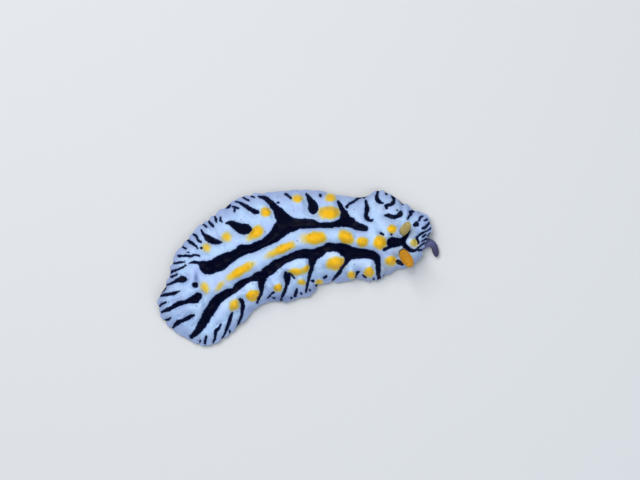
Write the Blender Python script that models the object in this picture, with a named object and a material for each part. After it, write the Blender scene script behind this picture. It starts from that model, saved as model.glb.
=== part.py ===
"""A sea slug of the family Phyllidiidae, life size, crawling flat on its foot.

Lengths are in millimetres and are turned into metres when a mesh is made. The head points to +X and
the animal's left side to +Y. The sole of the foot lies at height zero.

The body is laid out on rays. A curved midline runs along the back, and rays leave it for the margin of
the mantle: square to it along both sides, and as a fan round the tail and round the head. The top skin
and the underside are heights over that one layout, so the mantle is a closed shell in one piece. It
gets its knobs and gill leaflets, and is then parted into lengths with thin cuts.
"""
import math
import random

import bmesh
import bpy
import numpy as np
from mathutils import Vector

MM = 0.001
GAP = 0.3
SEED = 4

# Plan of the body: midline, half widths by distance along it, and the radii of the two end fans
MIDLINE = [(-19.2, -4.35), (-11.7, -0.9), (-3.8, 3.6), (3.5, 6.1), (9.9, 6.3), (16.2, 5.5), (20.3, 5.3)]
LEFT_WIDTH = [(0, 9.6), (4, 11.5), (8, 12.35), (12, 12.6), (15, 12.9), (20, 11.2), (26, 9.2), (31, 7.9),
              (34, 8.5), (36.5, 10.1), (39, 9.7), (42, 7.9)]
RIGHT_WIDTH = [(0, 10.7), (4, 9.6), (8, 7.8), (10, 7.7), (13, 9.7), (17, 10.3), (20, 10.7), (23, 9.5),
               (28, 9.1), (31, 9.0), (35, 8.1), (38, 8.0), (40, 6.5), (42, 5.4)]
TAIL_FAN = [(-90, 9.6), (-60, 7.6), (-45, 7.0), (-30, 7.4), (-10, 9.0), (15, 9.7), (45, 9.9), (70, 11.1),
            (90, 10.7)]
HEAD_FAN = [(-90, 5.4), (-45, 5.1), (-25, 5.0), (-10, 4.9), (0, 5.2), (15, 6.1), (25, 6.8), (45, 7.4),
            (70, 6.9), (90, 7.9)]

# Heights: the crest by distance along the midline, the rim of the mantle, and what lies below it
CREST = [(0, 5.6), (6, 7.1), (14, 8.8), (22, 9.4), (30, 8.9), (36, 7.9), (42, 6.6)]
BELL_SHARE = 0.25
DOME_POWER = 2.5
DOME_LOPSIDED = 0.35
RIM_THICK = 0.7
RIM_BULGE = 0.2
RIM_LOW = 0.45
RIM_WAVE = 0.28
WAVE_RATE = 0.62
RIPPLE_RATE = 1.27
RIPPLE_SHARE = 0.6
FRONT_LIFT = 1.5
MANTLE_THICK = 2.2
SKIRT_TAPER = 0.6
FOOT_HIGH = 2.0
FOOT_REACH = 0.42
FOOT_ROUND = 4.0
BELLY_REACH = 0.40
BELLY_CORNER = 0.02
WALL_REACH = 0.46
PALATE_HIGH = 3.7
PALATE_START = 37.5
PALATE_END = 40.0
FOOT_END = 38.1
# The foot's side, as shares of its half width and heights, from the sole up
FOOT_SIDE = [(0.93, 0.0), (1.0, 0.5), (0.97, 1.5), (0.9, FOOT_HIGH)]

# How finely the layout is drawn
STATIONS = 42
FAN_RAYS = 15
TOP_RINGS = 12
UNDER_RINGS = 8
BACK_STATIONS = 160
BACK_FAN_RAYS = 40
BACK_RINGS = 60
BACK_REACH = 0.98

# Outlines were measured as seen from above, from a point this high over this place
EYE_PLACE = (4.4, 5.6)
EYE_HIGH = 450.0

# Furrows between the ridges, each a line of (x, y, half width) on the plan seen from above
FURROW_DEEP = 1.2
FURROW_SHOULDER = 0.35
FURROW_FULL_WIDTH = 0.8
FURROW_LEAST = 0.3
FURROW_FADE = 0.8
FURROWS = [
    [(-20.0, 1.0, 0.4), (-18, 0.2, 1.3), (-15, 1.3, 1.4), (-12, 3.0, 1.0), (-8, 4.5, 0.9), (-5, 6.3, 1.2),
     (-3, 8.2, 1.7), (0, 8.8, 1.0), (5, 8.6, 0.6), (9.5, 9.3, 1.1), (13.4, 7.9, 0.5)],
    [(-2.8, 9.8, 1.3), (-5, 12.4, 0.7), (-7.9, 14.3, 0.2)],
    [(9.5, 9.8, 1.1), (8.6, 12.0, 0.4), (8.0, 13.3, 0.2)],
    [(-21.3, -13.8, 0.4), (-19.2, -11.3, 0.9), (-17, -7.6, 1.0), (-14, -4.9, 0.8), (-10, -2.4, 0.6),
     (-6.5, -1.0, 1.0), (-3.5, 1.1, 0.8), (0, 2.7, 0.8), (3.2, 2.7, 1.1), (6.2, 4.1, 0.9), (9, 3.7, 1.1),
     (12, 2.9, 1.1), (14.8, 2.6, 0.9), (16, 1.0, 0.6), (16.3, -2.6, 0.3)],
    [(-7.2, -2.3, 0.9), (-7.3, -4.8, 0.4), (-8.2, -6.9, 0.2)],
    [(2.9, 1.8, 0.9), (2.4, -1.2, 0.4), (1.6, -4.9, 0.2)],
    [(9.6, 1.3, 0.4), (8.3, -0.9, 0.3), (6.9, -2.5, 0.2)],
    [(-2.3, -1.2, 0.5), (-2.3, -3.6, 0.4), (-3.4, -6.6, 0.2)],
    [(-11.2, -6.6, 0.4), (-11.2, -9.0, 0.3), (-12.3, -12.2, 0.1)],
    [(-27.2, -8.8, 0.2), (-23, -7.0, 0.45), (-20.2, -5.9, 0.8)],
    [(-26.0, -3.3, 0.2), (-23.1, -2.25, 0.6)],
    [(-25.0, -11.9, 0.2), (-20.9, -9.5, 0.4)],
    [(-27.5, -5.6, 0.2), (-23.9, -4.8, 0.4)],
    [(-24.0, 2.4, 0.2), (-20.6, 2.4, 0.3)],
    [(-17.0, -15.0, 0.1), (-15.4, -11.3, 0.4)],
    [(-14.8, -13.6, 0.1), (-13.2, -9.2, 0.4)],
    [(-19.0, 7.0, 0.2), (-17.2, 5.6, 0.6), (-15.6, 5.1, 0.3)],
    [(-12.0, 13.2, 0.2), (-8.4, 11.2, 0.5)],
    [(13.8, 12.6, 0.3), (13.7, 10.2, 0.4)],
    [(15.9, 15.0, 0.2), (15.9, 13.4, 0.4)],
    [(18.1, 10.5, 0.35), (20.5, 10.9, 0.4)],
    [(-13.5, 9.0, 0.45), (-11.3, 7.9, 1.0), (-10, 7.9, 0.7)],
    [(2.0, 14.3, 0.3), (3.0, 12.0, 0.9)],
    [(18.8, 5.1, 0.9), (20.9, 5.4, 0.6), (22.2, 7.5, 0.2)],
]

# Knobs: (x, y, half length, half width, turn in degrees) on the plan seen from above
KNOB_RISE = 0.5
KNOB_LOW = 0.35
KNOB_ROOT = 0.9
KNOB_SHARE = 0.5
KNOB_UPRIGHT = 0.35
KNOB_VARY = (0.92, 1.1)
LONG_KNOB = 1.5
# A knob's side, as shares of its rise and of its plan, above the root
KNOB_SIDE = [(0.5, 0.86), (0.85, 0.5)]
KNOB_SKIRT = (0.05, 1.08)
KNOBS = [
    (-18.3, 4.0, 0.95, 0.85, 0), (-14.3, 6.2, 1.05, 0.95, 0), (-8.6, 6.95, 1.7, 0.9, 38),
    (-6.6, 11.2, 1.0, 0.9, 0), (-0.1, 13.7, 1.0, 0.8, 0), (6.45, 13.9, 1.05, 0.75, 0),
    (6.4, 11.0, 2.0, 1.25, 0), (18.9, 7.9, 0.95, 0.9, 0), (-18.7, -4.0, 1.15, 0.75, -60),
    (-11.6, -0.7, 3.0, 0.95, 31), (-2.9, 3.9, 2.3, 0.95, 24), (3.5, 6.0, 2.1, 1.3, 5),
    (9.6, 6.15, 1.65, 1.25, -35), (12.7, 5.2, 1.2, 1.05, 0), (16.5, 5.1, 1.3, 1.35, 0),
    (22.6, 5.1, 1.0, 1.0, 0), (-12.9, -7.45, 0.95, 0.9, 60), (-9.1, -5.5, 1.35, 1.05, 10),
    (-4.0, -4.0, 0.9, 0.85, 0), (-0.1, -0.8, 1.8, 0.75, 0), (0.3, -2.9, 0.95, 0.6, 0),
    (4.4, -2.4, 0.6, 0.5, 0), (7.6, 0.9, 1.85, 1.25, 5), (10.8, -1.2, 0.95, 0.8, 0),
    (14.0, -0.7, 1.0, 1.0, 0), (18.5, 1.4, 1.15, 1.0, 0),
]

# Gill leaflets under the skirt, between the body wall and the outer third
LEAFLET_PITCH = 1.18
LEAFLET_START = 1.2
LEAFLET_END = 36.5
LEAFLET_INNER = 0.51
LEAFLET_OUTER = 0.78
LEAFLET_THICK = 0.5
LEAFLET_COLUMNS = 4
LEAFLET_DROP = 1.45
LEAFLET_VARY = (0.85, 1.1)
LEAFLET_ROOT = 0.45
LEAFLET_HEM = 0.7
LEAFLET_SWELL = (0.14, 0.9)
PATH_STEPS = 400

# Cuts that part the body into lengths: two points of each cut line on the plan
CUT_TAIL = ((-22.4, 9.7), (-11.6, -13.6))
CUT_REAR = ((-4.7, 13.0), (-7.4, -6.9))
CUT_SHOULDER = ((10.2, 15.0), (3.1, -4.0))
CUT_HEAD = ((12.8, 15.0), (16.1, -3.0))
FOOT_CUT_REAR = ((-10.5, 5.0), (-6.5, -3.0))
FOOT_CUT_FRONT = ((4.0, 12.0), (5.6, 0.0))
CUT_REACH = 40.0
CUT_SPARE = 12.0
CUT_LOW = -1.0
CUT_HIGH = 16.0

# Rhinophores: ribbed clubs that lean forward and outward from pockets in the head, each given by its
# pocket on the plan, its tip and its radius
STALK_RADIUS = 0.6
STALK_TOP = 0.24
CLUB_ROOT = 1.0
CLUB_START = 0.27
CLUB_SPAN = 0.66
CLUB_SWELL = (0.24, 0.63)
CLUB_LEAVES = 9
LEAF_STEP = 0.035
LEAF_NECK = 0.8
TIP_SHARE = 0.22
CLUB_SIDES = 14
POCKET_HIGH = 2.6
POCKET_FULL = 0.5
RHINOPHORES = {
    "rhinophore_left": ((21.1, 7.2), (21.65, 8.85, 9.3), 0.87),
    "rhinophore_right": ((21.05, 3.05), (22.0, 0.55, 9.0), 1.1),
}

# Head bulb under the front of the mantle, and the two oral tentacles beside its mouth
BULB_CENTRE = (21.7, 5.2, 1.95)
BULB_SIZE = (2.1, 2.3, 1.6)
BULB_TOP = PALATE_HIGH - GAP
BULB_ROWS = 12
BULB_SIDES = 18
MOUTH_WAY = (0.94, 0.0, -0.34)
MOUTH_DEEP = 0.22
MOUTH_WIDE = 0.2
LIP_HIGH = 0.07
LIP_AWAY = 0.42
LIP_WIDE = 0.16
TENTACLES = {
    "oral_tentacle_left": ((23.2, 7.35, 1.7), (24.2, 8.2, 1.4), (25.1, 8.6, 1.1), (25.9, 8.2, 0.95)),
    "oral_tentacle_right": ((24.62, 4.1, 1.22), (25.4, 4.8, 0.92), (26.3, 5.2, 0.86), (26.95, 4.55, 0.82),
                            (27.35, 3.4, 0.78), (27.6, 2.3, 0.75)),
}
TENTACLE_RADIUS = 0.68
TENTACLE_FLAT = 0.8
TENTACLE_TAPER = 0.15
TENTACLE_BLUNT = 0.8
TENTACLE_RINGS = 12
TENTACLE_SIDES = 12
GROOVE_DEEP = 0.22
GROOVE_WIDE = 0.5

ROUGH_SKIN = 0.35
ROUGH_SOLE = 0.4
SKIN_BLUE = (0.42, 0.52, 0.86, 1.0)
SOLE_GREY = (0.45, 0.45, 0.50, 1.0)
CLUB_OCHRE = (0.55, 0.30, 0.03, 1.0)
TENTACLE_GREY = (0.12, 0.11, 0.19, 1.0)


def eased(table, where):
    """Values of a table of (place, value, ...) at other places, on a smooth cubic through its rows."""
    table = np.asarray(table, float)
    place = table[:, 0]
    value = table[:, 1:]
    slope = np.gradient(value, place, axis=0)
    where = np.clip(np.asarray(where, float), place[0], place[-1])
    i = np.clip(np.searchsorted(place, where, side="right") - 1, 0, len(place) - 2)
    wide = (place[i + 1] - place[i])[..., None]
    u = (where - place[i])[..., None] / wide
    near = (2 * u**3 - 3 * u**2 + 1) * value[i] + (u**3 - 2 * u**2 + u) * wide * slope[i]
    far = (3 * u**2 - 2 * u**3) * value[i + 1] + (u**3 - u**2) * wide * slope[i + 1]
    return near + far


def smooth_path(points, count):
    """Evenly spaced points on a smooth curve through the given points, and their distance along it."""
    points = np.asarray(points, float)
    chord = np.r_[0, np.cumsum(np.linalg.norm(np.diff(points, axis=0), axis=1))]
    fine = eased(np.column_stack([chord, points]), np.linspace(0, chord[-1], 800))
    walked = np.r_[0, np.cumsum(np.linalg.norm(np.diff(fine, axis=0), axis=1))]
    marks = np.linspace(0, walked[-1], count)
    return np.stack([np.interp(marks, walked, column) for column in fine.T], axis=1), marks


def step_up(x, low, high):
    """0 below low, 1 above high, and a smooth S between them."""
    u = np.clip((x - low) / (high - low), 0, 1)
    return u * u * (3 - 2 * u)


def lay_out_rays(stations, fan_rays):
    """Rays from the midline to the margin, anticlockwise from the right side of the tail.

    Gives the midline points, and for each ray its inner and outer end, its distance along the midline,
    its side from -1 on the right to 1 on the left, its turn off straight ahead, and its midline point.
    """
    spine, marks = smooth_path(MIDLINE, stations + 1)
    ahead = np.gradient(spine, axis=0)
    ahead /= np.linalg.norm(ahead, axis=1)[:, None]
    left = np.stack([-ahead[:, 1], ahead[:, 0]], axis=1)
    right_edge = spine - left * eased(RIGHT_WIDTH, marks)
    left_edge = spine + left * eased(LEFT_WIDTH, marks)
    turns = np.linspace(-90, 90, fan_rays + 2)[1:-1]
    swing = np.radians(turns)[:, None]
    head_edge = spine[-1] + eased(HEAD_FAN, turns) * (np.cos(swing) * ahead[-1] + np.sin(swing) * left[-1])
    tail_edge = spine[0] - eased(TAIL_FAN, turns) * (np.cos(swing) * ahead[0] + np.sin(swing) * left[0])
    up = np.arange(stations + 1)
    owner = np.r_[up, np.full(fan_rays, stations), up[::-1], np.zeros(fan_rays, int)]
    outer = np.vstack([right_edge, head_edge, left_edge[::-1], tail_edge])
    sine = np.sin(np.radians(turns))
    side = np.r_[-np.ones(stations + 1), sine, np.ones(stations + 1), -sine]
    front = np.r_[np.zeros(stations + 1), np.cos(np.radians(turns)), np.zeros(stations + 1 + fan_rays)]
    return spine, spine[owner], outer, marks[owner], side, front, owner


def seen_from_above(x, y, z):
    """Where a point at height z falls on the plan drawn from the point above the animal."""
    grow = 1 / (1 - z / EYE_HIGH)
    return EYE_PLACE[0] + (x - EYE_PLACE[0]) * grow, EYE_PLACE[1] + (y - EYE_PLACE[1]) * grow


def furrow_depth(x, y, z):
    """Depth of the furrows under a place: a rounded valley along each furrow line."""
    px, py = seen_from_above(x, y, z)
    deepest = np.zeros(np.shape(px))
    for line in FURROWS:
        for (ax, ay, aw), (bx, by, bw) in zip(line, line[1:]):
            run = (bx - ax)**2 + (by - ay)**2
            t = np.clip(((px - ax) * (bx - ax) + (py - ay) * (by - ay)) / run, 0, 1)
            away = np.hypot(px - ax - t * (bx - ax), py - ay - t * (by - ay))
            wide = aw + t * (bw - aw)
            full = np.clip(wide / FURROW_FULL_WIDTH, FURROW_LEAST, 1.0)
            valley = full * np.exp(-(away / (wide + FURROW_SHOULDER))**2)
            deepest = np.maximum(deepest, valley)
    return FURROW_DEEP * deepest


def rim_height(mark, side, front):
    """Height of the underside of the rim: low and gently waved, lifted over the mouth."""
    wave = np.sin(mark * WAVE_RATE + 2.0 * side)
    ripple = RIPPLE_SHARE * np.sin(mark * RIPPLE_RATE - 1.3 * side + 1.0)
    share = 0.5 + 0.5 * (wave + ripple) / (1 + RIPPLE_SHARE)
    return RIM_LOW + RIM_WAVE * share + FRONT_LIFT * front**1.5


def top_height(mark, side, front, r, x, y):
    """Height of the back: a dome from the crest to the rim, steeper on the right, less the furrows."""
    rim = rim_height(mark, side, front) + RIM_THICK
    crest = eased(CREST, mark)[..., 0]
    round_off = 1 - r**(DOME_POWER - DOME_LOPSIDED * side)
    bell = 0.5 + 0.5 * np.cos(math.pi * r)
    dome = rim + (crest - rim) * ((1 - BELL_SHARE) * round_off + BELL_SHARE * bell)
    fade = (1 - r**2)**FURROW_FADE
    return dome - furrow_depth(x, y, dome) * fade, dome


def under_height(mark, side, front, r, dome):
    """Height of the underside: belly over the foot, wall of the gill groove, then the thin skirt."""
    ramp = step_up(mark, PALATE_START, PALATE_END)
    belly = FOOT_HIGH + GAP + (PALATE_HIGH - FOOT_HIGH - GAP) * ramp
    thick = RIM_THICK + (MANTLE_THICK - RIM_THICK) * (1 - r)**SKIRT_TAPER
    skirt = np.maximum(dome - thick, np.minimum(belly, dome - RIM_THICK))
    wall = step_up(r, BELLY_REACH, WALL_REACH)
    return belly * (1 - wall) + skirt * wall


def fan_faces(owner, rays, rings, first):
    """Triangles of one face of the layout: midline strip, then rings outwards. Both faces are alike."""
    faces = []

    def at(ray, ring):
        return first + owner.max() + 1 + (ray % rays) * rings + ring

    for ray in range(rays):
        here = first + owner[ray]
        there = first + owner[(ray + 1) % rays]
        faces.append((here, at(ray, 0), at(ray + 1, 0)))
        if here != there:
            faces.append((here, at(ray + 1, 0), there))
        for ring in range(rings - 1):
            faces.append((at(ray, ring), at(ray, ring + 1), at(ray + 1, ring + 1)))
            faces.append((at(ray, ring), at(ray + 1, ring + 1), at(ray + 1, ring)))
    return faces


def spread(inner, outer, reach):
    """Points at the given shares of each ray, as arrays of rays by rings."""
    x = inner[:, :1] + (outer - inner)[:, :1] * reach
    y = inner[:, 1:] + (outer - inner)[:, 1:] * reach
    return x, y


def new_object(name, points, faces, colour=None, roughness=ROUGH_SKIN):
    """A mesh object from points in millimetres, with its material if a colour is given."""
    mesh = bpy.data.meshes.new(name)
    mesh.from_pydata([tuple(float(v) * MM for v in p) for p in points], [], faces)
    mesh.validate()
    piece = bpy.data.objects.new(name, mesh)
    bpy.context.collection.objects.link(piece)
    if colour:
        paint(piece, colour, roughness)
    return piece


def paint(piece, colour, roughness):
    """Give a piece its own plain material."""
    finish = bpy.data.materials.new(piece.name + "_skin")
    finish.use_nodes = True
    shader = finish.node_tree.nodes["Principled BSDF"]
    shader.inputs["Base Color"].default_value = colour
    shader.inputs["Roughness"].default_value = roughness
    shader.inputs["Metallic"].default_value = 0.0
    piece.data.materials.clear()
    piece.data.materials.append(finish)
    piece.data.shade_smooth()


def combine(body, others, operation):
    """Replace a body's mesh by its union, overlap or difference with a list of closed pieces."""
    group = bpy.data.collections.new("tools")
    bpy.context.scene.collection.children.link(group)
    for other in others:
        group.objects.link(other)
    change = body.modifiers.new("change", "BOOLEAN")
    change.operation = operation
    change.operand_type = "COLLECTION"
    change.collection = group
    change.solver = "EXACT"
    view = bpy.context.evaluated_depsgraph_get()
    result = bpy.data.meshes.new_from_object(body.evaluated_get(view))
    body.modifiers.clear()
    body.data = result
    for other in others:
        bpy.data.objects.remove(other)
    bpy.data.collections.remove(group)
    keep_largest(body)


def keep_largest(body):
    """Keep only the largest closed surface of a mesh, in triangles."""
    shape = bmesh.new()
    shape.from_mesh(body.data)
    bmesh.ops.triangulate(shape, faces=shape.faces)
    waiting = set(shape.faces)
    surfaces = []
    while waiting:
        front = [waiting.pop()]
        surface = []
        while front:
            face = front.pop()
            surface.append(face)
            for edge in face.edges:
                for near in edge.link_faces:
                    if near in waiting:
                        waiting.remove(near)
                        front.append(near)
        surfaces.append(surface)
    surfaces.sort(key=lambda faces: sum(face.calc_area() for face in faces))
    for surface in surfaces[:-1]:
        bmesh.ops.delete(shape, geom=surface, context="FACES")
    shape.to_mesh(body.data)
    shape.free()


def whole_mantle():
    """The mantle in one piece: back, rounded rim and underside over the same rays."""
    spine, inner, outer, mark, side, front, owner = lay_out_rays(STATIONS, FAN_RAYS)
    rays = len(owner)
    mark, side, front = mark[:, None], side[:, None], front[:, None]
    spine_mark = np.linspace(0, mark.max(), len(spine))
    top_reach = (np.arange(1, TOP_RINGS + 1) / TOP_RINGS)[None, :]
    skirt_rings = UNDER_RINGS - 3
    skirt_reach = np.linspace(WALL_REACH, 1, skirt_rings)
    corner = BELLY_REACH + BELLY_CORNER * np.array([-1, 1])
    under_reach = np.r_[BELLY_REACH / 2, corner, skirt_reach][None, :]
    zero = np.zeros(len(spine))
    crest = top_height(spine_mark, zero, zero, zero, spine[:, 0], spine[:, 1])[0]
    points = [np.column_stack([spine, crest])]
    x, y = spread(inner, outer, top_reach)
    height = top_height(mark, side, front, top_reach, x, y)[0]
    points.append(np.stack([x, y, height], axis=2).reshape(-1, 3))
    below = under_height(spine_mark, zero, zero, zero, crest)
    points.append(np.column_stack([spine, below]))
    x, y = spread(inner, outer, under_reach)
    dome = top_height(mark, side, front, under_reach, x, y)[1]
    height = under_height(mark, side, front, under_reach, dome)
    points.append(np.stack([x, y, height], axis=2).reshape(-1, 3))
    away = (outer - inner) / np.linalg.norm(outer - inner, axis=1)[:, None]
    middle = rim_height(mark, side, front) + RIM_THICK / 2
    points.append(np.column_stack([outer + away * RIM_BULGE, middle]))
    under_first = len(spine) + rays * TOP_RINGS
    rim_first = under_first + len(spine) + rays * UNDER_RINGS
    faces = fan_faces(owner, rays, TOP_RINGS, 0)
    faces += [face[::-1] for face in fan_faces(owner, rays, UNDER_RINGS, under_first)]
    for ray in range(rays):
        after = (ray + 1) % rays
        tops = [len(spine) + n * TOP_RINGS + TOP_RINGS - 1 for n in (ray, after)]
        unders = [under_first + len(spine) + (n + 1) * UNDER_RINGS - 1 for n in (ray, after)]
        rims = [rim_first + ray, rim_first + after]
        faces += [(tops[0], rims[0], rims[1]), (tops[0], rims[1], tops[1])]
        faces += [(rims[0], unders[0], unders[1]), (rims[0], unders[1], rims[1])]
    return new_object("mantle", np.vstack(points), faces)


def fine_back():
    """A close grid of places on the back with their slopes, to seat knobs and rhinophores on."""
    inner, outer, mark, side, front = lay_out_rays(BACK_STATIONS, BACK_FAN_RAYS)[1:6]
    reach = np.linspace(0.0, BACK_REACH, BACK_RINGS)[None, :]
    x, y = spread(inner, outer, reach)
    mark, side, front = mark[:, None], side[:, None], front[:, None]
    height, dome = top_height(mark, side, front, reach, x, y)
    thick = height - under_height(mark, side, front, reach, dome)
    place = np.stack([x, y, height], axis=2)
    across = np.roll(place, -2, axis=0) - np.roll(place, 2, axis=0)
    outward = np.gradient(place, axis=1)
    normal = np.cross(outward, across)
    normal /= np.linalg.norm(normal, axis=2)[..., None] + 1e-12
    normal *= np.sign(normal[..., 2:] + 1e-12)
    return place.reshape(-1, 3), normal.reshape(-1, 3), thick.reshape(-1)


def seat(back, x, y):
    """Place, slope and thickness of the back under a point of the plan seen from above."""
    place, normal, thick = back
    px, py = seen_from_above(place[:, 0], place[:, 1], place[:, 2])
    best = np.argmin((px - x)**2 + (py - y)**2)
    return place[best], normal[best], thick[best]


def knob(back, x, y, long, wide, turn, vary):
    """A low rounded knob, oval in plan, that stands on the slope of the back with its root sunk in."""
    place, normal, thick = seat(back, x, y)
    root = min(KNOB_ROOT, KNOB_SHARE * thick)
    lean = Vector(normal).lerp(Vector((0, 0, 1)), KNOB_UPRIGHT).normalized()
    along = Vector((math.cos(math.radians(turn)), math.sin(math.radians(turn)), 0))
    along = (along - lean * along.dot(lean)).normalized()
    cross = lean.cross(along)
    rise = (KNOB_LOW + KNOB_RISE * wide) * vary
    rings = [(-root, 1.0), KNOB_SKIRT] + [(up * rise, share) for up, share in KNOB_SIDE]
    sides = 10 if long > LONG_KNOB else 8
    points = []
    for high, share in rings:
        for k in range(sides):
            swing = 2 * math.pi * k / sides
            spot = along * (long * share * math.cos(swing)) + cross * (wide * share * math.sin(swing))
            points.append(Vector(place) + spot + lean * high)
    points.append(Vector(place) + lean * rise)
    faces = [tuple(range(sides))[::-1]]
    for ring in range(len(rings) - 1):
        for k in range(sides):
            a, b = ring * sides + k, ring * sides + (k + 1) % sides
            faces.append((a, b, b + sides, a + sides))
    top = (len(rings) - 1) * sides
    faces += [(top + k, top + (k + 1) % sides, len(points) - 1) for k in range(sides)]
    return new_object("knob", points, faces)


def leaflet(mark, side, drop):
    """A gill leaflet: a thin flap across the gill groove, its root in the skirt, thinner at its hem."""
    spine, marks = smooth_path(MIDLINE, PATH_STEPS)
    k = int(np.argmin(abs(marks - mark)))
    ahead = spine[min(k + 1, PATH_STEPS - 1)] - spine[max(k - 1, 0)]
    ahead /= np.linalg.norm(ahead)
    outward = np.array([-ahead[1], ahead[0]]) * side
    width = eased(LEFT_WIDTH if side > 0 else RIGHT_WIDTH, mark)[0]
    reach = np.linspace(LEAFLET_INNER, LEAFLET_OUTER, LEAFLET_COLUMNS)
    count = LEAFLET_COLUMNS
    x = spine[k, 0] + outward[0] * width * reach
    y = spine[k, 1] + outward[1] * width * reach
    here, edge, level = np.full(count, float(mark)), np.full(count, float(side)), np.zeros(count)
    dome = top_height(here, edge, level, reach, x, y)[1]
    roof = under_height(here, edge, level, reach, dome)
    swell = np.sin(math.pi * np.linspace(*LEAFLET_SWELL, count))**0.7
    half_thick = LEAFLET_THICK / 2
    rows = [(roof + LEAFLET_ROOT, half_thick), (roof - drop * swell, half_thick * LEAFLET_HEM)]
    points = []
    for sway in (-1, 1):
        for height, half in rows:
            for n in range(count):
                points.append((x[n] + ahead[0] * half * sway, y[n] + ahead[1] * half * sway, height[n]))
    faces = []
    low, back, under = count, 2 * count, 3 * count
    for n in range(count - 1):
        faces.append((n, n + 1, low + n + 1, low + n))
        faces.append((back + n, under + n, under + n + 1, back + n + 1))
        faces.append((n, back + n, back + n + 1, n + 1))
        faces.append((low + n, low + n + 1, under + n + 1, under + n))
    faces += [(0, low, under, back), (low - 1, under - 1, under + low - 1, back - 1)]
    piece = new_object("leaflet", points, faces)
    face_outwards(piece)
    return piece


def face_outwards(piece):
    """Turn every face of a closed mesh outwards and split it into triangles."""
    shape = bmesh.new()
    shape.from_mesh(piece.data)
    bmesh.ops.recalc_face_normals(shape, faces=shape.faces)
    bmesh.ops.triangulate(shape, faces=shape.faces)
    shape.to_mesh(piece.data)
    shape.free()


def wedge(behind, before):
    """A block between two cut lines, GAP / 2 clear of each. None means that side is open."""
    edges = []
    for cut, inwards in ((behind, 1), (before, -1)):
        if cut is None:
            x = -CUT_REACH * inwards
            edges.append((Vector((x, CUT_REACH)), Vector((x, -CUT_REACH))))
            continue
        high, low = Vector(cut[0]), Vector(cut[1])
        line = (high - low).normalized()
        shift = Vector((line.y, -line.x)) * (GAP / 2 * inwards)
        edges.append((high + line * CUT_SPARE + shift, low - line * CUT_SPARE + shift))
    (a, b), (d, c) = edges
    plan = [a, b, c, d]
    points = [(p.x, p.y, high) for high in (CUT_LOW, CUT_HIGH) for p in plan]
    faces = [(0, 1, 2, 3), (4, 5, 6, 7), (0, 1, 5, 4), (1, 2, 6, 5), (2, 3, 7, 6), (3, 0, 4, 7)]
    block = new_object("wedge", points, faces)
    face_outwards(block)
    return block


def part_in_lengths(whole, cuts, names, colour, roughness):
    """Part a body by its cut lines into named lengths, from the tail to the head."""
    lines = [None] + list(cuts) + [None]
    pieces = []
    for name, behind, before in zip(names, lines, lines[1:]):
        piece = bpy.data.objects.new(name, whole.data.copy())
        bpy.context.collection.objects.link(piece)
        combine(piece, [wedge(behind, before)], "INTERSECT")
        paint(piece, colour, roughness)
        pieces.append(piece)
    bpy.data.objects.remove(whole)
    return pieces


def make_mantle(back):
    """Mantle with its knobs and gill leaflets, parted into five lengths."""
    draw = random.Random(SEED)
    mantle = whole_mantle()
    growths = [knob(back, *numbers, draw.uniform(*KNOB_VARY)) for numbers in KNOBS]
    for side in (-1, 1):
        for mark in np.arange(LEAFLET_START, LEAFLET_END, LEAFLET_PITCH):
            ends = math.sin(math.pi * (mark + 3) / (LEAFLET_END + 6))**0.6
            drop = LEAFLET_DROP * ends * draw.uniform(*LEAFLET_VARY)
            growths.append(leaflet(mark, side, drop))
    combine(mantle, growths, "UNION")
    names = ["mantle_tail", "mantle_rear", "mantle_back", "mantle_shoulder", "mantle_head"]
    cuts = [CUT_TAIL, CUT_REAR, CUT_SHOULDER, CUT_HEAD]
    return part_in_lengths(mantle, cuts, names, SKIN_BLUE, ROUGH_SKIN)


def make_foot():
    """The foot: a low slab with a flat sole and rounded edge, parted into three lengths."""
    spine, inner, outer, mark, _, front, owner = lay_out_rays(STATIONS, FAN_RAYS)
    reach = FOOT_REACH * np.sqrt(1 - step_up(mark, FOOT_END - FOOT_ROUND, FOOT_END)**2)
    spine_mark = np.linspace(0, mark.max(), len(spine))
    spine = eased(np.column_stack([spine_mark, spine]), np.minimum(spine_mark, FOOT_END))
    rays = np.flatnonzero((mark < FOOT_END) & (front == 0))
    centre = [n for n in range(len(spine)) if n <= owner[rays].max()]
    points = [(spine[n, 0], spine[n, 1], 0.0) for n in centre]
    for share, high in FOOT_SIDE:
        for n in rays:
            spot = inner[n] + (outer[n] - inner[n]) * reach[n] * share
            points.append((spot[0], spot[1], high))
    points += [(spine[n, 0], spine[n, 1], FOOT_HIGH) for n in centre]
    count = len(rays)
    first = len(centre)
    roof = first + len(FOOT_SIDE) * count
    faces = []
    for k in range(count):
        after = (k + 1) % count
        for row in range(len(FOOT_SIDE) - 1):
            a, b = first + row * count + k, first + row * count + after
            faces += [(a, b, b + count), (a, b + count, a + count)]
        here, there = owner[rays[k]], owner[rays[after]]
        a, b = first + k, first + after
        faces.append((a, here, b))
        c, d = roof - count + k, roof - count + after
        faces.append((c, d, roof + here))
        if here != there:
            faces.append((here, there, b))
            faces.append((roof + here, d, roof + there))
    foot = new_object("foot", points, faces)
    names = ["foot_tail", "foot_middle", "foot_front"]
    part_in_lengths(foot, [FOOT_CUT_REAR, FOOT_CUT_FRONT], names, SOLE_GREY, ROUGH_SOLE)


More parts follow.
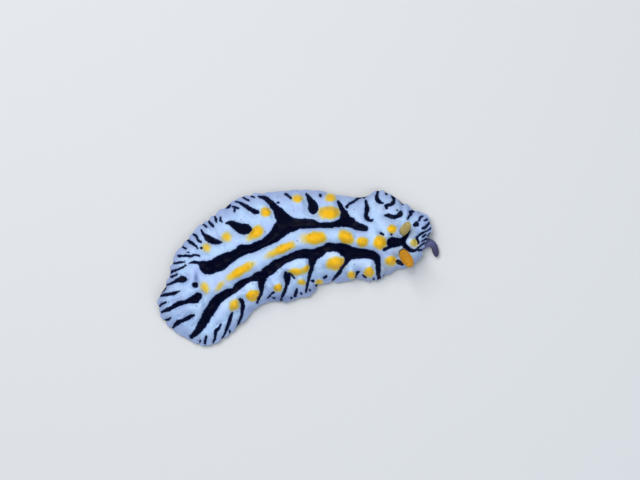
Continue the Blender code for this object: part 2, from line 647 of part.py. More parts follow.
def turned(name, start, end, profile, sides):
    """A closed turned shape on the line from start to end, from (share of length, radius) pairs."""
    start, end = Vector(start), Vector(end)
    axis = (end - start).normalized()
    across = axis.orthogonal().normalized()
    other = axis.cross(across)
    points = []
    for share, radius in profile:
        centre = start.lerp(end, share)
        for k in range(sides):
            swing = 2 * math.pi * k / sides
            points.append(centre + (across * math.cos(swing) + other * math.sin(swing)) * radius)
    points += [start.lerp(end, profile[0][0]), start.lerp(end, profile[-1][0])]
    faces = []
    for ring in range(len(profile) - 1):
        for k in range(sides):
            a, b = ring * sides + k, ring * sides + (k + 1) % sides
            faces.append((a, b, b + sides, a + sides))
    top = (len(profile) - 1) * sides
    for k in range(sides):
        faces.append(((k + 1) % sides, k, len(points) - 2))
        faces.append((top + k, top + (k + 1) % sides, len(points) - 1))
    return new_object(name, points, faces)


def club_profile(radius):
    """Stalk, then a club of stacked leaves that swells and tapers, then a blunt tip."""
    profile = [(0.0, STALK_RADIUS), (STALK_TOP, STALK_RADIUS)]
    start, span = CLUB_SWELL
    for n in range(CLUB_LEAVES):
        part = n / (CLUB_LEAVES - 1)
        share = CLUB_START + CLUB_SPAN * part
        swell = radius * math.sin(math.pi * (start + span * part))**0.8
        profile.append((share, swell))
        profile.append((share + LEAF_STEP, swell * LEAF_NECK))
    profile.append((1.0, radius * TIP_SHARE))
    return profile


def make_rhinophores(back, head):
    """Two ribbed clubs, each in a pocket that is cut into the head with a thin gap all round."""
    for name, (base, tip, radius) in RHINOPHORES.items():
        place = seat(back, *base)[0]
        tip = Vector(tip)
        axis = (tip - Vector(place)).normalized()
        root = Vector(place) - axis * CLUB_ROOT
        club = turned(name, root, tip, club_profile(radius), CLUB_SIDES)
        paint(club, CLUB_OCHRE, ROUGH_SKIN)
        hole = STALK_RADIUS + GAP
        pocket = turned("pocket", root - axis * GAP, root + axis * POCKET_HIGH,
                        [(0.0, hole), (POCKET_FULL, radius + GAP), (1.0, radius + GAP)], CLUB_SIDES)
        combine(head, [pocket], "DIFFERENCE")


def make_head_bulb():
    """The small head under the mantle: a rounded bulb with a flat top and a lipped mouth in front."""
    rows, sides = BULB_ROWS, BULB_SIDES
    points = []
    for row in range(1, rows):
        polar = math.pi * row / rows
        for k in range(sides):
            swing = 2 * math.pi * k / sides
            way = Vector((math.sin(polar) * math.cos(swing), math.sin(polar) * math.sin(swing),
                          math.cos(polar)))
            off = way.angle(Vector(MOUTH_WAY))
            mouth = MOUTH_DEEP * math.exp(-(off / MOUTH_WIDE)**2)
            lip = LIP_HIGH * math.exp(-((off - LIP_AWAY) / LIP_WIDE)**2)
            spot = [c + s * w * (1 - mouth + lip) for c, s, w in zip(BULB_CENTRE, BULB_SIZE, way)]
            spot[2] = min(spot[2], BULB_TOP)
            points.append(spot)
    points.append((BULB_CENTRE[0], BULB_CENTRE[1], BULB_TOP))
    points.append((BULB_CENTRE[0], BULB_CENTRE[1], BULB_CENTRE[2] - BULB_SIZE[2]))
    faces = []
    for row in range(rows - 2):
        for k in range(sides):
            a, b = row * sides + k, row * sides + (k + 1) % sides
            faces.append((a, a + sides, b + sides, b))
    low = (rows - 2) * sides
    for k in range(sides):
        faces.append((k, (k + 1) % sides, len(points) - 2))
        faces.append((low + (k + 1) % sides, low + k, len(points) - 1))
    bulb = new_object("head", points, faces, SOLE_GREY)
    face_outwards(bulb)


def make_tentacles():
    """Two short oral tentacles with a groove along the outer side and a blunt tip."""
    for name, route in TENTACLES.items():
        path = smooth_path(route, TENTACLE_RINGS)[0]
        side = 1 if "left" in name else -1
        last = TENTACLE_RINGS - 1
        points = []
        for n, centre in enumerate(path):
            ahead = Vector(path[min(n + 1, last)] - path[max(n - 1, 0)]).normalized()
            level = ahead.cross(Vector((0, 0, 1))).normalized() * -side
            up = level.cross(ahead).normalized() * side
            share = n / last
            blunt = max(share - TENTACLE_BLUNT, 0) / (1.06 - TENTACLE_BLUNT)
            taper = (1 - TENTACLE_TAPER * share) * math.sqrt(1 - blunt**2)
            for k in range(TENTACLE_SIDES):
                swing = 2 * math.pi * k / TENTACLE_SIDES
                off = min(swing, 2 * math.pi - swing) / GROOVE_WIDE
                radius = TENTACLE_RADIUS * taper * (1 - GROOVE_DEEP * math.exp(-off**2))
                spot = level * math.cos(swing) * radius + up * math.sin(swing) * radius * TENTACLE_FLAT
                points.append(Vector(centre) + spot)
        faces = [tuple(range(TENTACLE_SIDES))]
        for ring in range(last):
            for k in range(TENTACLE_SIDES):
                a, b = ring * TENTACLE_SIDES + k, ring * TENTACLE_SIDES + (k + 1) % TENTACLE_SIDES
                faces.append((a, b, b + TENTACLE_SIDES, a + TENTACLE_SIDES))
        faces.append(tuple(range(last * TENTACLE_SIDES, TENTACLE_RINGS * TENTACLE_SIDES)))
        piece = new_object(name, points, faces, TENTACLE_GREY)
        face_outwards(piece)


def main():
    for old in list(bpy.data.objects):
        bpy.data.objects.remove(old)
    back = fine_back()
    mantle = make_mantle(back)
    make_rhinophores(back, mantle[-1])
    make_foot()
    make_head_bulb()
    make_tentacles()
    for piece in bpy.data.objects:
        print(piece.name, len(piece.data.polygons))


main()
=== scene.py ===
# %% [markdown]
# A sea slug at life size, crawling on a pale table.
# The solids of the model are already packed as a frame. This script puts a living surface round them:
# one continuous skin, two leafy rhinophores and the gills under the skirt.
# Lengths on the animal are in millimetres. They become metres only when a mesh is made.

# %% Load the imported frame
import math
from functools import partial

import bpy
import numpy as np
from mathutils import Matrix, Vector


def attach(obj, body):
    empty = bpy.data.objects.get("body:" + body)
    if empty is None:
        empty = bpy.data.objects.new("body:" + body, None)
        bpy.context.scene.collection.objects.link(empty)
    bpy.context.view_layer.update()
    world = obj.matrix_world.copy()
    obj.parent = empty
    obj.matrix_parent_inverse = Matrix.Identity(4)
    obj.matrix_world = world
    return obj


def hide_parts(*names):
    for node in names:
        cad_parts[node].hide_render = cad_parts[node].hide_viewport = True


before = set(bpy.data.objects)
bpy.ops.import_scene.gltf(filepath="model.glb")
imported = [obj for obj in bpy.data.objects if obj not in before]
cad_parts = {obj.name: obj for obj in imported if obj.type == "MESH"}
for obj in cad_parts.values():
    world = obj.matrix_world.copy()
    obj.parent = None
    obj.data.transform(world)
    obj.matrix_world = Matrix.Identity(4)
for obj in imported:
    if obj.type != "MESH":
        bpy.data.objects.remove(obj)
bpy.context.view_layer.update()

MM = 0.001


def add_object(name, data):
    """Put a new object that holds the given data into the scene."""
    made = bpy.data.objects.new(name, data)
    bpy.context.scene.collection.objects.link(made)
    return made


# %% [markdown]
# The camera hangs almost straight above the animal, as one does that looks down on a crawling slug.
# A long lens keeps the high back from bulging towards the viewer. The field is 128 mm wide on the
# table, so a picture 640 pixels wide shows a fifth of a millimetre in each pixel.

# %% Camera above the table
EYE_PLACE = (4.4, 5.6)
EYE_HIGH = 450.0
FIELD_WIDE = 128.0
SENSOR = 36.0

lens = bpy.data.cameras.new("eye")
lens.sensor_width = SENSOR
lens.lens = SENSOR * EYE_HIGH / FIELD_WIDE
lens.clip_start = 0.01
lens.clip_end = 10.0
eye = add_object("eye", lens)
eye.location = (EYE_PLACE[0] * MM, EYE_PLACE[1] * MM, EYE_HIGH * MM)
bpy.context.scene.camera = eye
bpy.context.scene.view_settings.view_transform = "Standard"
print("lens", round(lens.lens, 1), "mm")


def seen_from_above(x, y, z):
    """Where a point at height z falls on the table's plan, drawn along the line from the camera."""
    grow = 1 / (1 - z / EYE_HIGH)
    return EYE_PLACE[0] + (x - EYE_PLACE[0]) * grow, EYE_PLACE[1] + (y - EYE_PLACE[1]) * grow


# %% [markdown]
# The table is a plain pale sheet. A wide lamp stands high on the animal's left and rear, so the slope
# on its right side falls into soft shade. A weaker, wider lamp opens that shade, and a small one
# overhead puts the short glints of wet skin on the knobs. Lamps are placed and sized in metres.

# %% Table and lamps
FLOOR_HALF = 1.5
FLOOR_DROP = 0.00002
# Each lamp: its place, size, power in watts and colour
LAMPS = {"lamp_high": ((-0.16, 0.20, 0.45), 0.30, 2.0, (1.0, 0.98, 0.95)),
         "lamp_low": ((0.28, -0.30, 0.34), 0.40, 1.0, (0.85, 0.92, 1.0)),
         "lamp_glint": ((-0.03, 0.10, 0.50), 0.03, 0.25, (1.0, 1.0, 1.0))}

for name, (place, size, power, colour) in LAMPS.items():
    light = bpy.data.lights.new(name, "AREA")
    light.size = size
    light.energy = power
    light.color = colour
    lamp = add_object(name, light)
    lamp.location = place
    lamp.rotation_euler = Vector(place).to_track_quat("Z", "Y").to_euler()

floor_mesh = bpy.data.meshes.new("table")
corners = [(x * FLOOR_HALF, y * FLOOR_HALF, -FLOOR_DROP) for x, y in [(-1, -1), (1, -1), (1, 1), (-1, 1)]]
floor_mesh.from_pydata(corners, [], [(0, 1, 2, 3)])
table = add_object("table", floor_mesh)
paper = bpy.data.materials.new("table_paper")
paper.use_nodes = True
paper_shader = paper.node_tree.nodes["Principled BSDF"]
paper_shader.inputs["Base Color"].default_value = (0.62, 0.63, 0.64, 1)
paper_shader.inputs["Roughness"].default_value = 0.8
floor_mesh.materials.append(paper)

world = bpy.data.worlds.new("room")
world.use_nodes = True
sky = world.node_tree.nodes["Background"]
sky.inputs["Color"].default_value = (0.80, 0.88, 1.0, 1)
sky.inputs["Strength"].default_value = 0.40
bpy.context.scene.world = world
print("table and", len(LAMPS), "lamps")

# %% [markdown]
# Every surface here is worked out as whole arrays with numpy and then handed to Blender at once.
# The helpers for it are small tables written as text, a smooth cubic through the rows of one, a smooth
# path through a few points, a bell and a soft step, the faces of a grid, and a maker that turns points
# and faces into one mesh with named values on its points.

# %% Curves and meshes from arrays
PATH_SAMPLES = 800
TINY = 1e-9


def numbers(text):
    """A table from text: numbers are parted by spaces and rows by commas."""
    return np.array([[float(number) for number in row.split()] for row in text.split(",")])


def unit(vectors):
    """Vectors with their length made 1."""
    return vectors / (np.linalg.norm(vectors, axis=-1, keepdims=True) + TINY)


def bell(away, wide):
    """1 where away is 0, falling on both sides as the exponential of minus the square of away over wide."""
    return np.exp(-(away / wide)**2)


def eased(rows, where):
    """Read a table of (place, value, ...) at other places, on a cubic whose slopes follow the rows."""
    place, value = rows[:, 0], rows[:, 1:]
    slope = np.gradient(value, place, axis=0)
    where = np.clip(where, place[0], place[-1])
    i = np.clip(np.searchsorted(place, where, side="right") - 1, 0, len(place) - 2)
    wide = (place[i + 1] - place[i])[..., None]
    u = (where - place[i])[..., None] / wide
    near = (2 * u**3 - 3 * u**2 + 1) * value[i] + (u**3 - 2 * u**2 + u) * wide * slope[i]
    far = (3 * u**2 - 2 * u**3) * value[i + 1] + (u**3 - u**2) * wide * slope[i + 1]
    return near + far


def smooth_path(points, count):
    """Evenly spaced points on a smooth curve through the given points, with the distance walked."""
    chord = np.r_[0, np.cumsum(np.linalg.norm(np.diff(points[:, :3], axis=0), axis=1))]
    fine = eased(np.column_stack([chord, points]), np.linspace(0, chord[-1], PATH_SAMPLES))
    walked = np.r_[0, np.cumsum(np.linalg.norm(np.diff(fine, axis=0), axis=1))]
    marks = np.linspace(0, walked[-1], count)
    return np.stack([np.interp(marks, walked, column) for column in fine.T], axis=1), marks


def step_up(x, low, high):
    """0 below low, 1 above high, and a smooth S between them."""
    u = np.clip((x - low) / (high - low), 0, 1)
    return u * u * (3 - 2 * u)


def grid_faces(rows, columns, first=0, closed_rows=False, closed_columns=False):
    """Four-sided faces between the points of a rows by columns grid, as index rows."""
    r = np.arange(rows if closed_rows else rows - 1)
    c = np.arange(columns if closed_columns else columns - 1)
    r, c = np.meshgrid(r, c, indexing="ij")
    here, after = r * columns, ((r + 1) % rows) * columns
    right = (c + 1) % columns
    return first + np.stack([here + c, here + right, after + right, after + c], axis=-1).reshape(-1, 4)


def make_piece(name, points, faces, values):
    """A smooth mesh object from arrays of points in mm and faces, with named values on its points."""
    mesh = bpy.data.meshes.new(name)
    mesh.vertices.add(len(points))
    mesh.vertices.foreach_set("co", (points * MM).ravel())
    loops = np.concatenate([part.ravel() for part in faces])
    sizes = np.concatenate([np.full(len(part), part.shape[1]) for part in faces])
    mesh.loops.add(len(loops))
    mesh.loops.foreach_set("vertex_index", loops.astype(np.int32))
    mesh.polygons.add(len(sizes))
    mesh.polygons.foreach_set("loop_start", (np.cumsum(sizes) - sizes).astype(np.int32))
    mesh.update(calc_edges=True)
    for label, value in values.items():
        mesh.attributes.new(label, "FLOAT", "POINT").data.foreach_set("value", value.astype(np.float32))
    mesh.shade_smooth()
    print(name, len(points), "points", len(sizes), "faces")
    return add_object(name, mesh)


# %% [markdown]
# The body is laid out on rays. A curved midline runs along the back. Rays leave it for the margin of
# the mantle, square to it along both sides and as a fan round each end. A point is then known by its
# ray and by its reach along it, 0 at the midline and 1 at the margin. It is a grid of two parameters
# bent round the animal, so markings and folds that run out to the margin follow the mesh.

# %% Plan of the body
MIDLINE = numbers("-19.2 -4.35, -11.7 -.9, -3.8 3.6, 3.5 6.1, 9.9 6.3, 16.2 5.5, 20.3 5.3")
LEFT_WIDTH = numbers("""
0 9.6, 4 11.5, 8 12.35, 12 12.6, 15 12.9, 20 11.2, 26 9.2, 31 7.9, 34 8.5, 36.5 10.1, 39 9.7, 42 7.9""")
RIGHT_WIDTH = numbers("""
0 10.7, 4 9.6, 8 7.8, 10 7.7, 13 9.7, 17 10.3, 20 10.7, 23 9.5, 28 9.1, 31 9, 35 8.1, 38 8, 40 6.5,
42 5.4""")
TAIL_FAN = numbers("-90 9.6, -60 7.6, -45 7, -30 7.4, -10 9, 15 9.7, 45 9.9, 70 11.1, 90 10.7")
HEAD_FAN = numbers("-90 5.4, -45 5.1, -25 5, -10 4.9, 0 5.2, 15 6.1, 25 6.8, 45 7.4, 70 6.9, 90 7.9")
STATIONS = 290
FAN_RAYS = 160

spine, marks = smooth_path(MIDLINE, STATIONS + 1)
ahead = unit(np.gradient(spine, axis=0))
left = np.stack([-ahead[:, 1], ahead[:, 0]], axis=1)
turns = np.linspace(-90, 90, FAN_RAYS + 2)[1:-1]
swing = np.radians(turns)[:, None]
head_edge = spine[-1] + eased(HEAD_FAN, turns) * (np.cos(swing) * ahead[-1] + np.sin(swing) * left[-1])
tail_edge = spine[0] - eased(TAIL_FAN, turns) * (np.cos(swing) * ahead[0] + np.sin(swing) * left[0])
right_edge = spine - left * eased(RIGHT_WIDTH, marks)
left_edge = spine + left * eased(LEFT_WIDTH, marks)
upward = np.arange(STATIONS + 1)
owner = np.r_[upward, np.full(FAN_RAYS, STATIONS), upward[::-1], np.zeros(FAN_RAYS, int)]
outer = np.vstack([right_edge, head_edge, left_edge[::-1], tail_edge])
inner = spine[owner]
ray_mark = marks[owner][:, None]
# How far each ray points to the left, from -1 to 1, and how far to the front, which it does at the head
straight = np.ones(STATIONS + 1)
ray_side = np.r_[-straight, np.sin(swing[:, 0]), straight, -np.sin(swing[:, 0])][:, None]
ray_front = np.r_[0 * straight, np.cos(swing[:, 0]), 0 * straight, 0 * turns][:, None]
RAYS = len(owner)
print(RAYS, "rays, midline", round(float(marks[-1]), 1), "mm long")

# %% [markdown]
# The black pattern is the animal's own: two long bands run beside the back, and branches and short
# bars run from them to the margin. Each is a stroke of the brush: spots of x, y and half width on the
# plan seen from above, parted by commas, with a semicolon after each stroke but the last. A name and
# a colon stand before the first stroke of each group.
# A stroke gives every point of the skin its distance to the stroke's edge, and the material turns that
# distance into a crisp edge, so the mesh can stay fairly light. Thin strokes are drawn somewhat wider,
# because the ragged edge that the material gives them would eat them away.

# %% Strokes of the black pattern
STROKES = """
left band:
-21.8 .95 .05, -20.8 1.15 .17, -20 1.05 .2, -19.2 .75 .62, -18.4 .1 1.25, -17.5 .15 1.38, -16.9 .45 1.2,
  -16 .75 1.4, -15 1.35 1.45, -14 1.9 1.2, -13 2.45 1, -12 3 .95, -11 3.65 1.1, -10 3.75 .9, -9 4 .87,
  -8 4.5 .87, -7 4.9 .8, -6 5.5 .95, -5 6.18 1.17, -4 7.1 1.42, -3 8.2 1.65, -2 8.7 1.6, -1 8.7 1.35,
  0 8.8 1, 1.5 8.85 .95, 3 8.85 .85, 4 8.55 .55, 5 8.6 .55, 6.5 8.55 .55, 7.5 8.75 .6, 8.5 9 .8,
  9.3 9.3 1.1, 10.2 9.3 1.1, 11 8.8 .8, 12 8.3 .75, 13 8.05 .62, 13.4 7.9 .55;
left branches:
-3.98 10 .4, -3.94 9.3 .4, -3.98 8.7 .38;
-2.6 9.6 1.3, -3 9.9 1.3, -4.15 11.6 .83, -4.95 12.4 .66, -5.6 13.2 .53, -6.6 14 .37, -7.9 14.3 .1;
9.5 9.8 1.1, 9.3 10.6 .85, 9.2 11.1 .65, 8.65 12 .4, 8.3 12.75 .3, 8 13.25 .2;
right band:
-21.3 -13.8 .35, -20.3 -12.9 .6, -19.2 -11.3 .85, -18.3 -9.7 .95, -17.3 -8.1 1.05, -16.4 -6.7 1,
  -15.3 -5.7 .85, -14 -4.95 .78, -12.9 -4.6 .55, -12 -3.75 .75, -11 -2.95 .65, -10 -2.4 .5, -9 -2.1 .55,
  -8 -1.7 .9, -7 -1.5 .9, -6.3 -.8 1, -5.3 -.2 1.05, -4.5 .6 .95, -3.5 1.15 .8, -2.4 1.75 .72, -1 2.35 .7,
  .5 2.8 .85, 2 2.8 1, 3.2 2.7 1.1, 4.2 3.1 1, 5.2 3.7 .8, 6.2 4.15 .9, 7.5 4.1 .8, 8.6 4 .95, 9.6 3.4 1.3,
  10.8 3 1.25, 12.2 2.9 1, 13.6 2.85 .9, 14.8 2.6 .9, 15.6 2.1 .75, 16 1 .55, 16 -.3 .48, 16.1 -1.4 .3,
  16.35 -2.6 .25, 16.4 -3.1 .1;
right branches:
-7.2 -2.3 .9, -7.35 -3.2 .62, -7.3 -4.3 .45, -7.35 -5.1 .25, -7.8 -6 .2, -8.2 -6.9 .1;
2.9 1.8 .95, 2.8 .9 .55, 2.7 0 .38, 2.37 -1.2 .32, 2.15 -2.2 .25, 1.92 -3.2 .18, 1.7 -4.3 .12, 1.6 -4.9 .06;
10.1 2.2 .8, 9.7 1.3 .42, 9.2 .5 .24, 8.7 -.2 .22, 8.3 -.85 .3, 7.7 -1.5 .25, 7.2 -2.15 .18, 6.9 -2.5 .1;
tail bars:
-23.9 2.4 .2, -22.5 2.45 .22, -21.2 2.4 .2, -20.5 2.65 .1, -19.8 2.4 .12;
-24.9 .9 .12, -23.8 1.1 .12, -22.7 1.2 .1;
-25.3 -.85 .12, -24.4 -.4 .17, -23.3 0 .15, -22.5 .5 .08;
-25.4 -1.8 .1, -24.9 -1.6 .14, -24.2 -1.3 .1;
-26 -3.3 .12, -24.8 -2.8 .25, -23.8 -2.4 .5, -23.1 -2.25 .65, -22.6 -2.3 .4;
-26.3 -3.5 .1, -26.8 -4.2 .25, -27.3 -4.9 .1;
-27.5 -5.6 .12, -26.3 -5.35 .3, -25 -5.1 .3, -24.2 -4.85 .2, -23.7 -4.65 .1;
-27.7 -7.7 .1, -27.1 -7.2 .1, -26.4 -6.85 .07;
-27.2 -8.8 .15, -26.3 -8.45 .3, -25 -7.8 .45, -23.7 -7.1 .45, -22.6 -6.9 .35, -21.6 -6.55 .55,
  -20.5 -6.15 .85, -20 -5.7 .8;
-26.7 -10.6 .12, -26 -10.3 .15, -25.4 -9.9 .08;
-25 -11.9 .15, -24.2 -11 .4, -23 -10.5 .38, -22 -10 .35, -21.2 -9.55 .3, -20.9 -9.5 .2;
-20.7 -3.4 .5, -20.45 -3.4 .5;
-18.6 -15.1 .1, -18.55 -14.4 .17, -18.35 -13.7 .1;
-19.7 -14.9 .08, -19.5 -14.5 .12;
-17 -15 .08, -16.6 -13.8 .2, -16.4 -12.6 .3, -15.8 -12 .2, -15.4 -11.3 .12;
-15.2 -14.1 .1, -14.5 -12.8 .2, -13.9 -11.2 .3, -13.4 -9.7 .3, -13.15 -8.95 .15;
-13.7 -13.1 .08, -13.6 -12.6 .12;
-11.55 -6.3 .3, -11.2 -6.6 .38, -11.05 -7.4 .4, -11.15 -8.6 .3, -11.3 -9.6 .22, -11.85 -10.9 .2,
  -12.3 -12.2 .08;
right flank:
-6.1 -6 .06, -5.5 -5.4 .1, -4.9 -4.8 .18;
-2.45 -1.15 .38, -2.15 -1.9 .68, -2.15 -2.7 .48, -2.35 -3.6 .28, -2.75 -4.8 .26, -3.2 -5.8 .22,
  -3.4 -6.6 .12;
-1.8 -1.2 .3, -1.3 -1.4 .15, -.7 -2.1 .06;
-.25 -4.2 .1, -.4 -5 .25, -.65 -5.6 .2;
-4.8 -6 .15, -4.7 -6 .1;
-1.3 -6 .18, -1.2 -6.1 .1;
.6 -5.1 .12, .7 -5.2 .08;
5.3 -1.95 .18, 5.65 -1.65 .18;
2.9 -2.6 .25, 3.1 -2.6 .2;
3.7 -3.5 .15, 3.8 -3.5 .12;
2.3 -4.4 .1, 2.4 -4.5 .08;
12.2 -.75 .15, 12 -.75 .2, 11.7 -1.4 .1, 11.5 -1.85 .06;
13 -1.45 .08, 13.5 -1.85 .12;
15.1 -2.2 .15, 15.2 -2.3 .1;
left flank:
-14.3 8.95 .15, -13.5 9 .45, -12.5 8.5 .75, -11.3 7.85 1, -10.4 7.75 1, -9.9 7.85 .7;
-19.4 7.6 .08, -19 7 .2, -18.3 6.2 .5, -17.4 5.6 .65, -16.5 5.3 .55, -15.8 5.15 .35, -15.4 5.1 .15;
-12.5 13.25 .08, -11.6 13.05 .15, -10.9 12.6 .3, -10 12.1 .38, -9.1 11.5 .42, -8.4 11.2 .42, -8 11.2 .25;
-15 12.25 .1, -14.4 12.15 .14, -13.9 12.2 .16, -13.6 12.5 .18, -14 12.8 .08;
-13.1 12.3 .1, -12.5 12.15 .13, -11.9 11.95 .08;
-12.6 12 .16, -12.75 11.35 .12;
-11 14.1 .1, -10.3 13.7 .13, -9.8 13.5 .1;
-9.4 14.4 .05, -8.7 14.1 .05;
-18 9.7 .12, -17.6 9 .2, -17 8.35 .18;
-16.6 10.2 .1, -16.4 9.6 .18, -16.3 9.15 .12;
-15.5 10.1 .12, -15.5 9.6 .14, -15.25 9.2 .08;
-18.9 8.7 .1, -18.2 8.2 .12;
-20.85 6.7 .1, -20.3 6.3 .15, -20 5.6 .2, -19.4 5.15 .12;
-22.4 5.9 .12, -21.6 5.2 .25, -20.7 4.6 .15, -20.1 4 .15;
-19.35 4 .12, -19.25 4 .1;
-23.1 4.2 .1, -22.5 3.9 .12;
-22 3.1 .12, -21.9 3.1 .1;
-2.5 14.75 .15, -2 14.45 .17, -1.4 14 .17;
-4 13.1 .15, -3.9 13.1 .12;
1.6 14.9 .06, 2 14.3 .3, 2.5 13.5 .6, 2.9 12.6 .85, 3.1 11.8 1, 3 11.6 .8;
4.5 14.5 .25, 4.55 14.4 .2;
9.75 12.2 .26, 10.1 12.7 .2, 10.8 13.1 .15, 11.5 13.6 .17, 12.2 14 .17, 12.8 14.25 .12;
13.2 14.1 .12, 13.8 14.6 .16, 14.4 15.2 .14;
13.6 13.35 .22, 13.65 12.8 .2, 13.8 12.1 .4, 13.75 11.2 .38, 13.6 10.4 .4, 14 9.75 .35, 14.5 9.5 .25,
  15 9.7 .12;
16.05 15.6 .15, 15.8 14.6 .3, 15.85 13.7 .4, 16.3 13.2 .35, 16.9 13 .18;
17.7 15.3 .1, 17.65 14.8 .15;
18.95 14.4 .2, 19.15 13.6 .25, 19 13 .35, 18.2 12.6 .25, 17.6 12.4 .25, 17.65 12 .2;
17.4 10.5 .1, 18.1 10.5 .35, 19 10.2 .38, 20 10.4 .35, 20.5 10.9 .4, 20.6 11.2 .3;
19.85 11.6 .12, 19.95 11.6 .1;
19.3 14.6 .16, 20 14.1 .18, 20.6 13.4 .16, 20.9 12.8 .12;
head:
23.1 11.35 .1, 22.4 11.25 .2, 22.6 10.7 .2, 22.2 10.3 .18, 21.95 9.8 .1;
24.9 10.4 .1, 24.4 10.1 .15, 24.2 9.5 .1;
23.3 8.6 .34, 23.75 8.75 .46;
25.3 9.5 .08, 25.8 9.75 .1;
25 7.9 .16, 25.5 8.2 .19, 26 8.7 .16, 26.35 9.1 .07;
24.05 5.2 .15, 23.95 5.6 .2, 23.75 6 .16, 24.05 6.35 .16, 24.6 6.85 .18, 25.3 7.15 .13, 26 7.5 .08,
  26.55 8 .04;
24.9 6.2 .08, 25.2 6.5 .14, 25.55 6.75 .08;
26 6.45 .02, 26.35 6.9 .04;
24.75 5.2 .03, 25.4 5.65 .08, 26.1 5.95 .06;
24 4.1 .04, 24.55 4.5 .08, 25 4.85 .11, 25.75 5 .07;
24.15 3.55 .12, 24.8 3.6 .1;
17.3 3.75 .3, 17.9 4 .3, 18.5 4.3 .25, 18.8 5.1 1, 19.5 5.1 .95, 20.3 5.2 .75, 20.9 5.4 .62, 21.3 6 .42,
  21.8 6.7 .32, 22.1 7.3 .22, 22.32 8 .12;
20.9 5.2 .5, 21.2 4.7 .48, 21.8 4.1 .42, 22.4 3.6 .34, 23.3 3.5 .27, 23.8 3.8 .12, 24.2 4.2 .08;
24 4.8 .05, 24.1 5.2 .12, 24 5.6 .15;
16.5 7 .15, 17 6.7 .15;
18.65 6.7 .12, 18.75 6.7 .1;
17.25 -1.6 .1, 17.35 -1.6 .08;
19.9 1.3 .36, 20.4 1.05 .42, 20.9 .7 .25
"""
THIN_GAIN = 0.07
THIN_LIMIT = 0.5

strokes = []
for text in STROKES.split(";"):
    stroke = numbers(text.split(":")[-1])
    stroke[:, 2] += THIN_GAIN * np.clip(1 - stroke[:, 2] / THIN_LIMIT, 0, 1)
    strokes.append(stroke)
print(len(strokes), "strokes,", sum(len(stroke) for stroke in strokes), "spots")

# %% [markdown]
# On the animal the black lies in valleys between pale ridges, so a stroke also sinks the skin. Each
# point is compared with every short run of every stroke that comes near it, all at once as arrays.

# %% Distance to the black and depth of its furrow
FURROW_DEEP = 1.2
FURROW_SHOULDER = 0.35
FURROW_LEAST = 0.3
FULL_WIDTH = 0.8
FAR = 3.0
RUNS_TO_A_SPOT = 3


def read_strokes(x, y, z):
    """Signed distance to the nearest stroke's edge, negative inside, and the furrow's depth there.

    A stroke is smoothed, cut into short straight runs, and each run is a line with a changing half
    width. The furrow is a rounded valley along the line, shallower under a thin stroke.
    """
    px, py = seen_from_above(x, y, z)
    away = np.full(px.shape, FAR)
    depth = np.zeros(px.shape)
    for stroke in strokes:
        run = smooth_path(stroke, RUNS_TO_A_SPOT * len(stroke))[0] if len(stroke) > 2 else stroke
        low, high = run[:, :2].min(0) - FAR - 1, run[:, :2].max(0) + FAR + 1
        near = np.flatnonzero((px > low[0]) & (px < high[0]) & (py > low[1]) & (py < high[1]))
        a, b = run[:-1], run[1:]
        step = b - a
        long = (step[:, :2]**2).sum(1) + TINY
        dx, dy = px[near][:, None] - a[:, 0], py[near][:, None] - a[:, 1]
        t = np.clip((dx * step[:, 0] + dy * step[:, 1]) / long, 0, 1)
        line = np.hypot(dx - t * step[:, 0], dy - t * step[:, 1])
        wide = a[:, 2] + t * step[:, 2]
        away[near] = np.minimum(away[near], (line - wide).min(1))
        valley = bell(line, wide + FURROW_SHOULDER) * np.clip(wide / FULL_WIDTH, FURROW_LEAST, 1)
        depth[near] = np.maximum(depth[near], valley.max(1))
    return away, depth * FURROW_DEEP


print("furrows up to", FURROW_DEEP, "mm deep")

# %% [markdown]
# Knobs stand on the ridges between the black bands, and each wears a yellow cap. One table places
# both: centre, half length, half width and turn on the plan, then how high the knob stands and how
# strong its yellow is. With no height a row is a cap alone, and with no yellow a knob alone.
# A knob's form falls off smoothly from its top, so it grows out of the ridge.

# %% Knobs and their caps
KNOBS = numbers("""
-18.3 4.05 1.2 1.1 0 1 .53, -14.3 6.2 1.25 1.2 0 1 .6, -8.35 7.15 1.6 1.15 38 1 1,
-8.9 6.7 2 .9 38 0 .6, -6.45 11.2 1.05 .95 0 1 1, -.1 13.85 1.15 .9 0 1 .74, 6.5 14.1 1.15 .95 0 1 .8,
6.25 11.05 2.05 1.25 0 1.1 1.1, 18.8 7.8 .9 .85 0 1 1, -18.6 -3.95 1.45 .98 -60 .9 .56,
-15.6 -3.6 1.7 .85 48 0 .45, -11.5 -.6 3.2 .9 31 1 .9, -2.9 3.9 2.5 .9 24 1 .92,
-4.3 3.2 3.1 .85 24 0 .55, 3.5 6 2.1 1.25 5 1.1 1.1, 2.9 5.95 3 1.3 3 0 .55,
9.6 6.15 1.65 1.2 -35 1.1 1.1, 12.9 5.2 1.2 1 0 1 1, 16.4 5.1 1.3 1.35 0 1 1.1, 22.5 5.1 1.1 1.1 0 1 0,
23.3 5 .98 .98 0 0 .62, -12.75 -7.4 1.3 1.05 60 1 .8, -8.9 -5.5 1.4 1.05 10 1 1.3, -4 -4 .85 .85 0 1 1,
-.3 -.75 1.8 .8 2 1 .74, 1.6 -.2 1 .6 50 .8 .85, .7 -2.85 1 .66 0 .8 .7, 4.2 -2.8 .85 .6 0 .6 .7,
7.6 .9 1.85 1.25 5 1.1 1.2, 10.7 -1.4 .95 .85 0 1 .75, 14.2 -.86 1 1.05 0 1 1, 18.6 1.4 1.15 1 0 1 1""")
KNOB_LOW = 0.35
KNOB_RISE = 0.5
KNOB_FALL = 1.05
KNOB_POWER = 2.6
CAP_END = 1.4


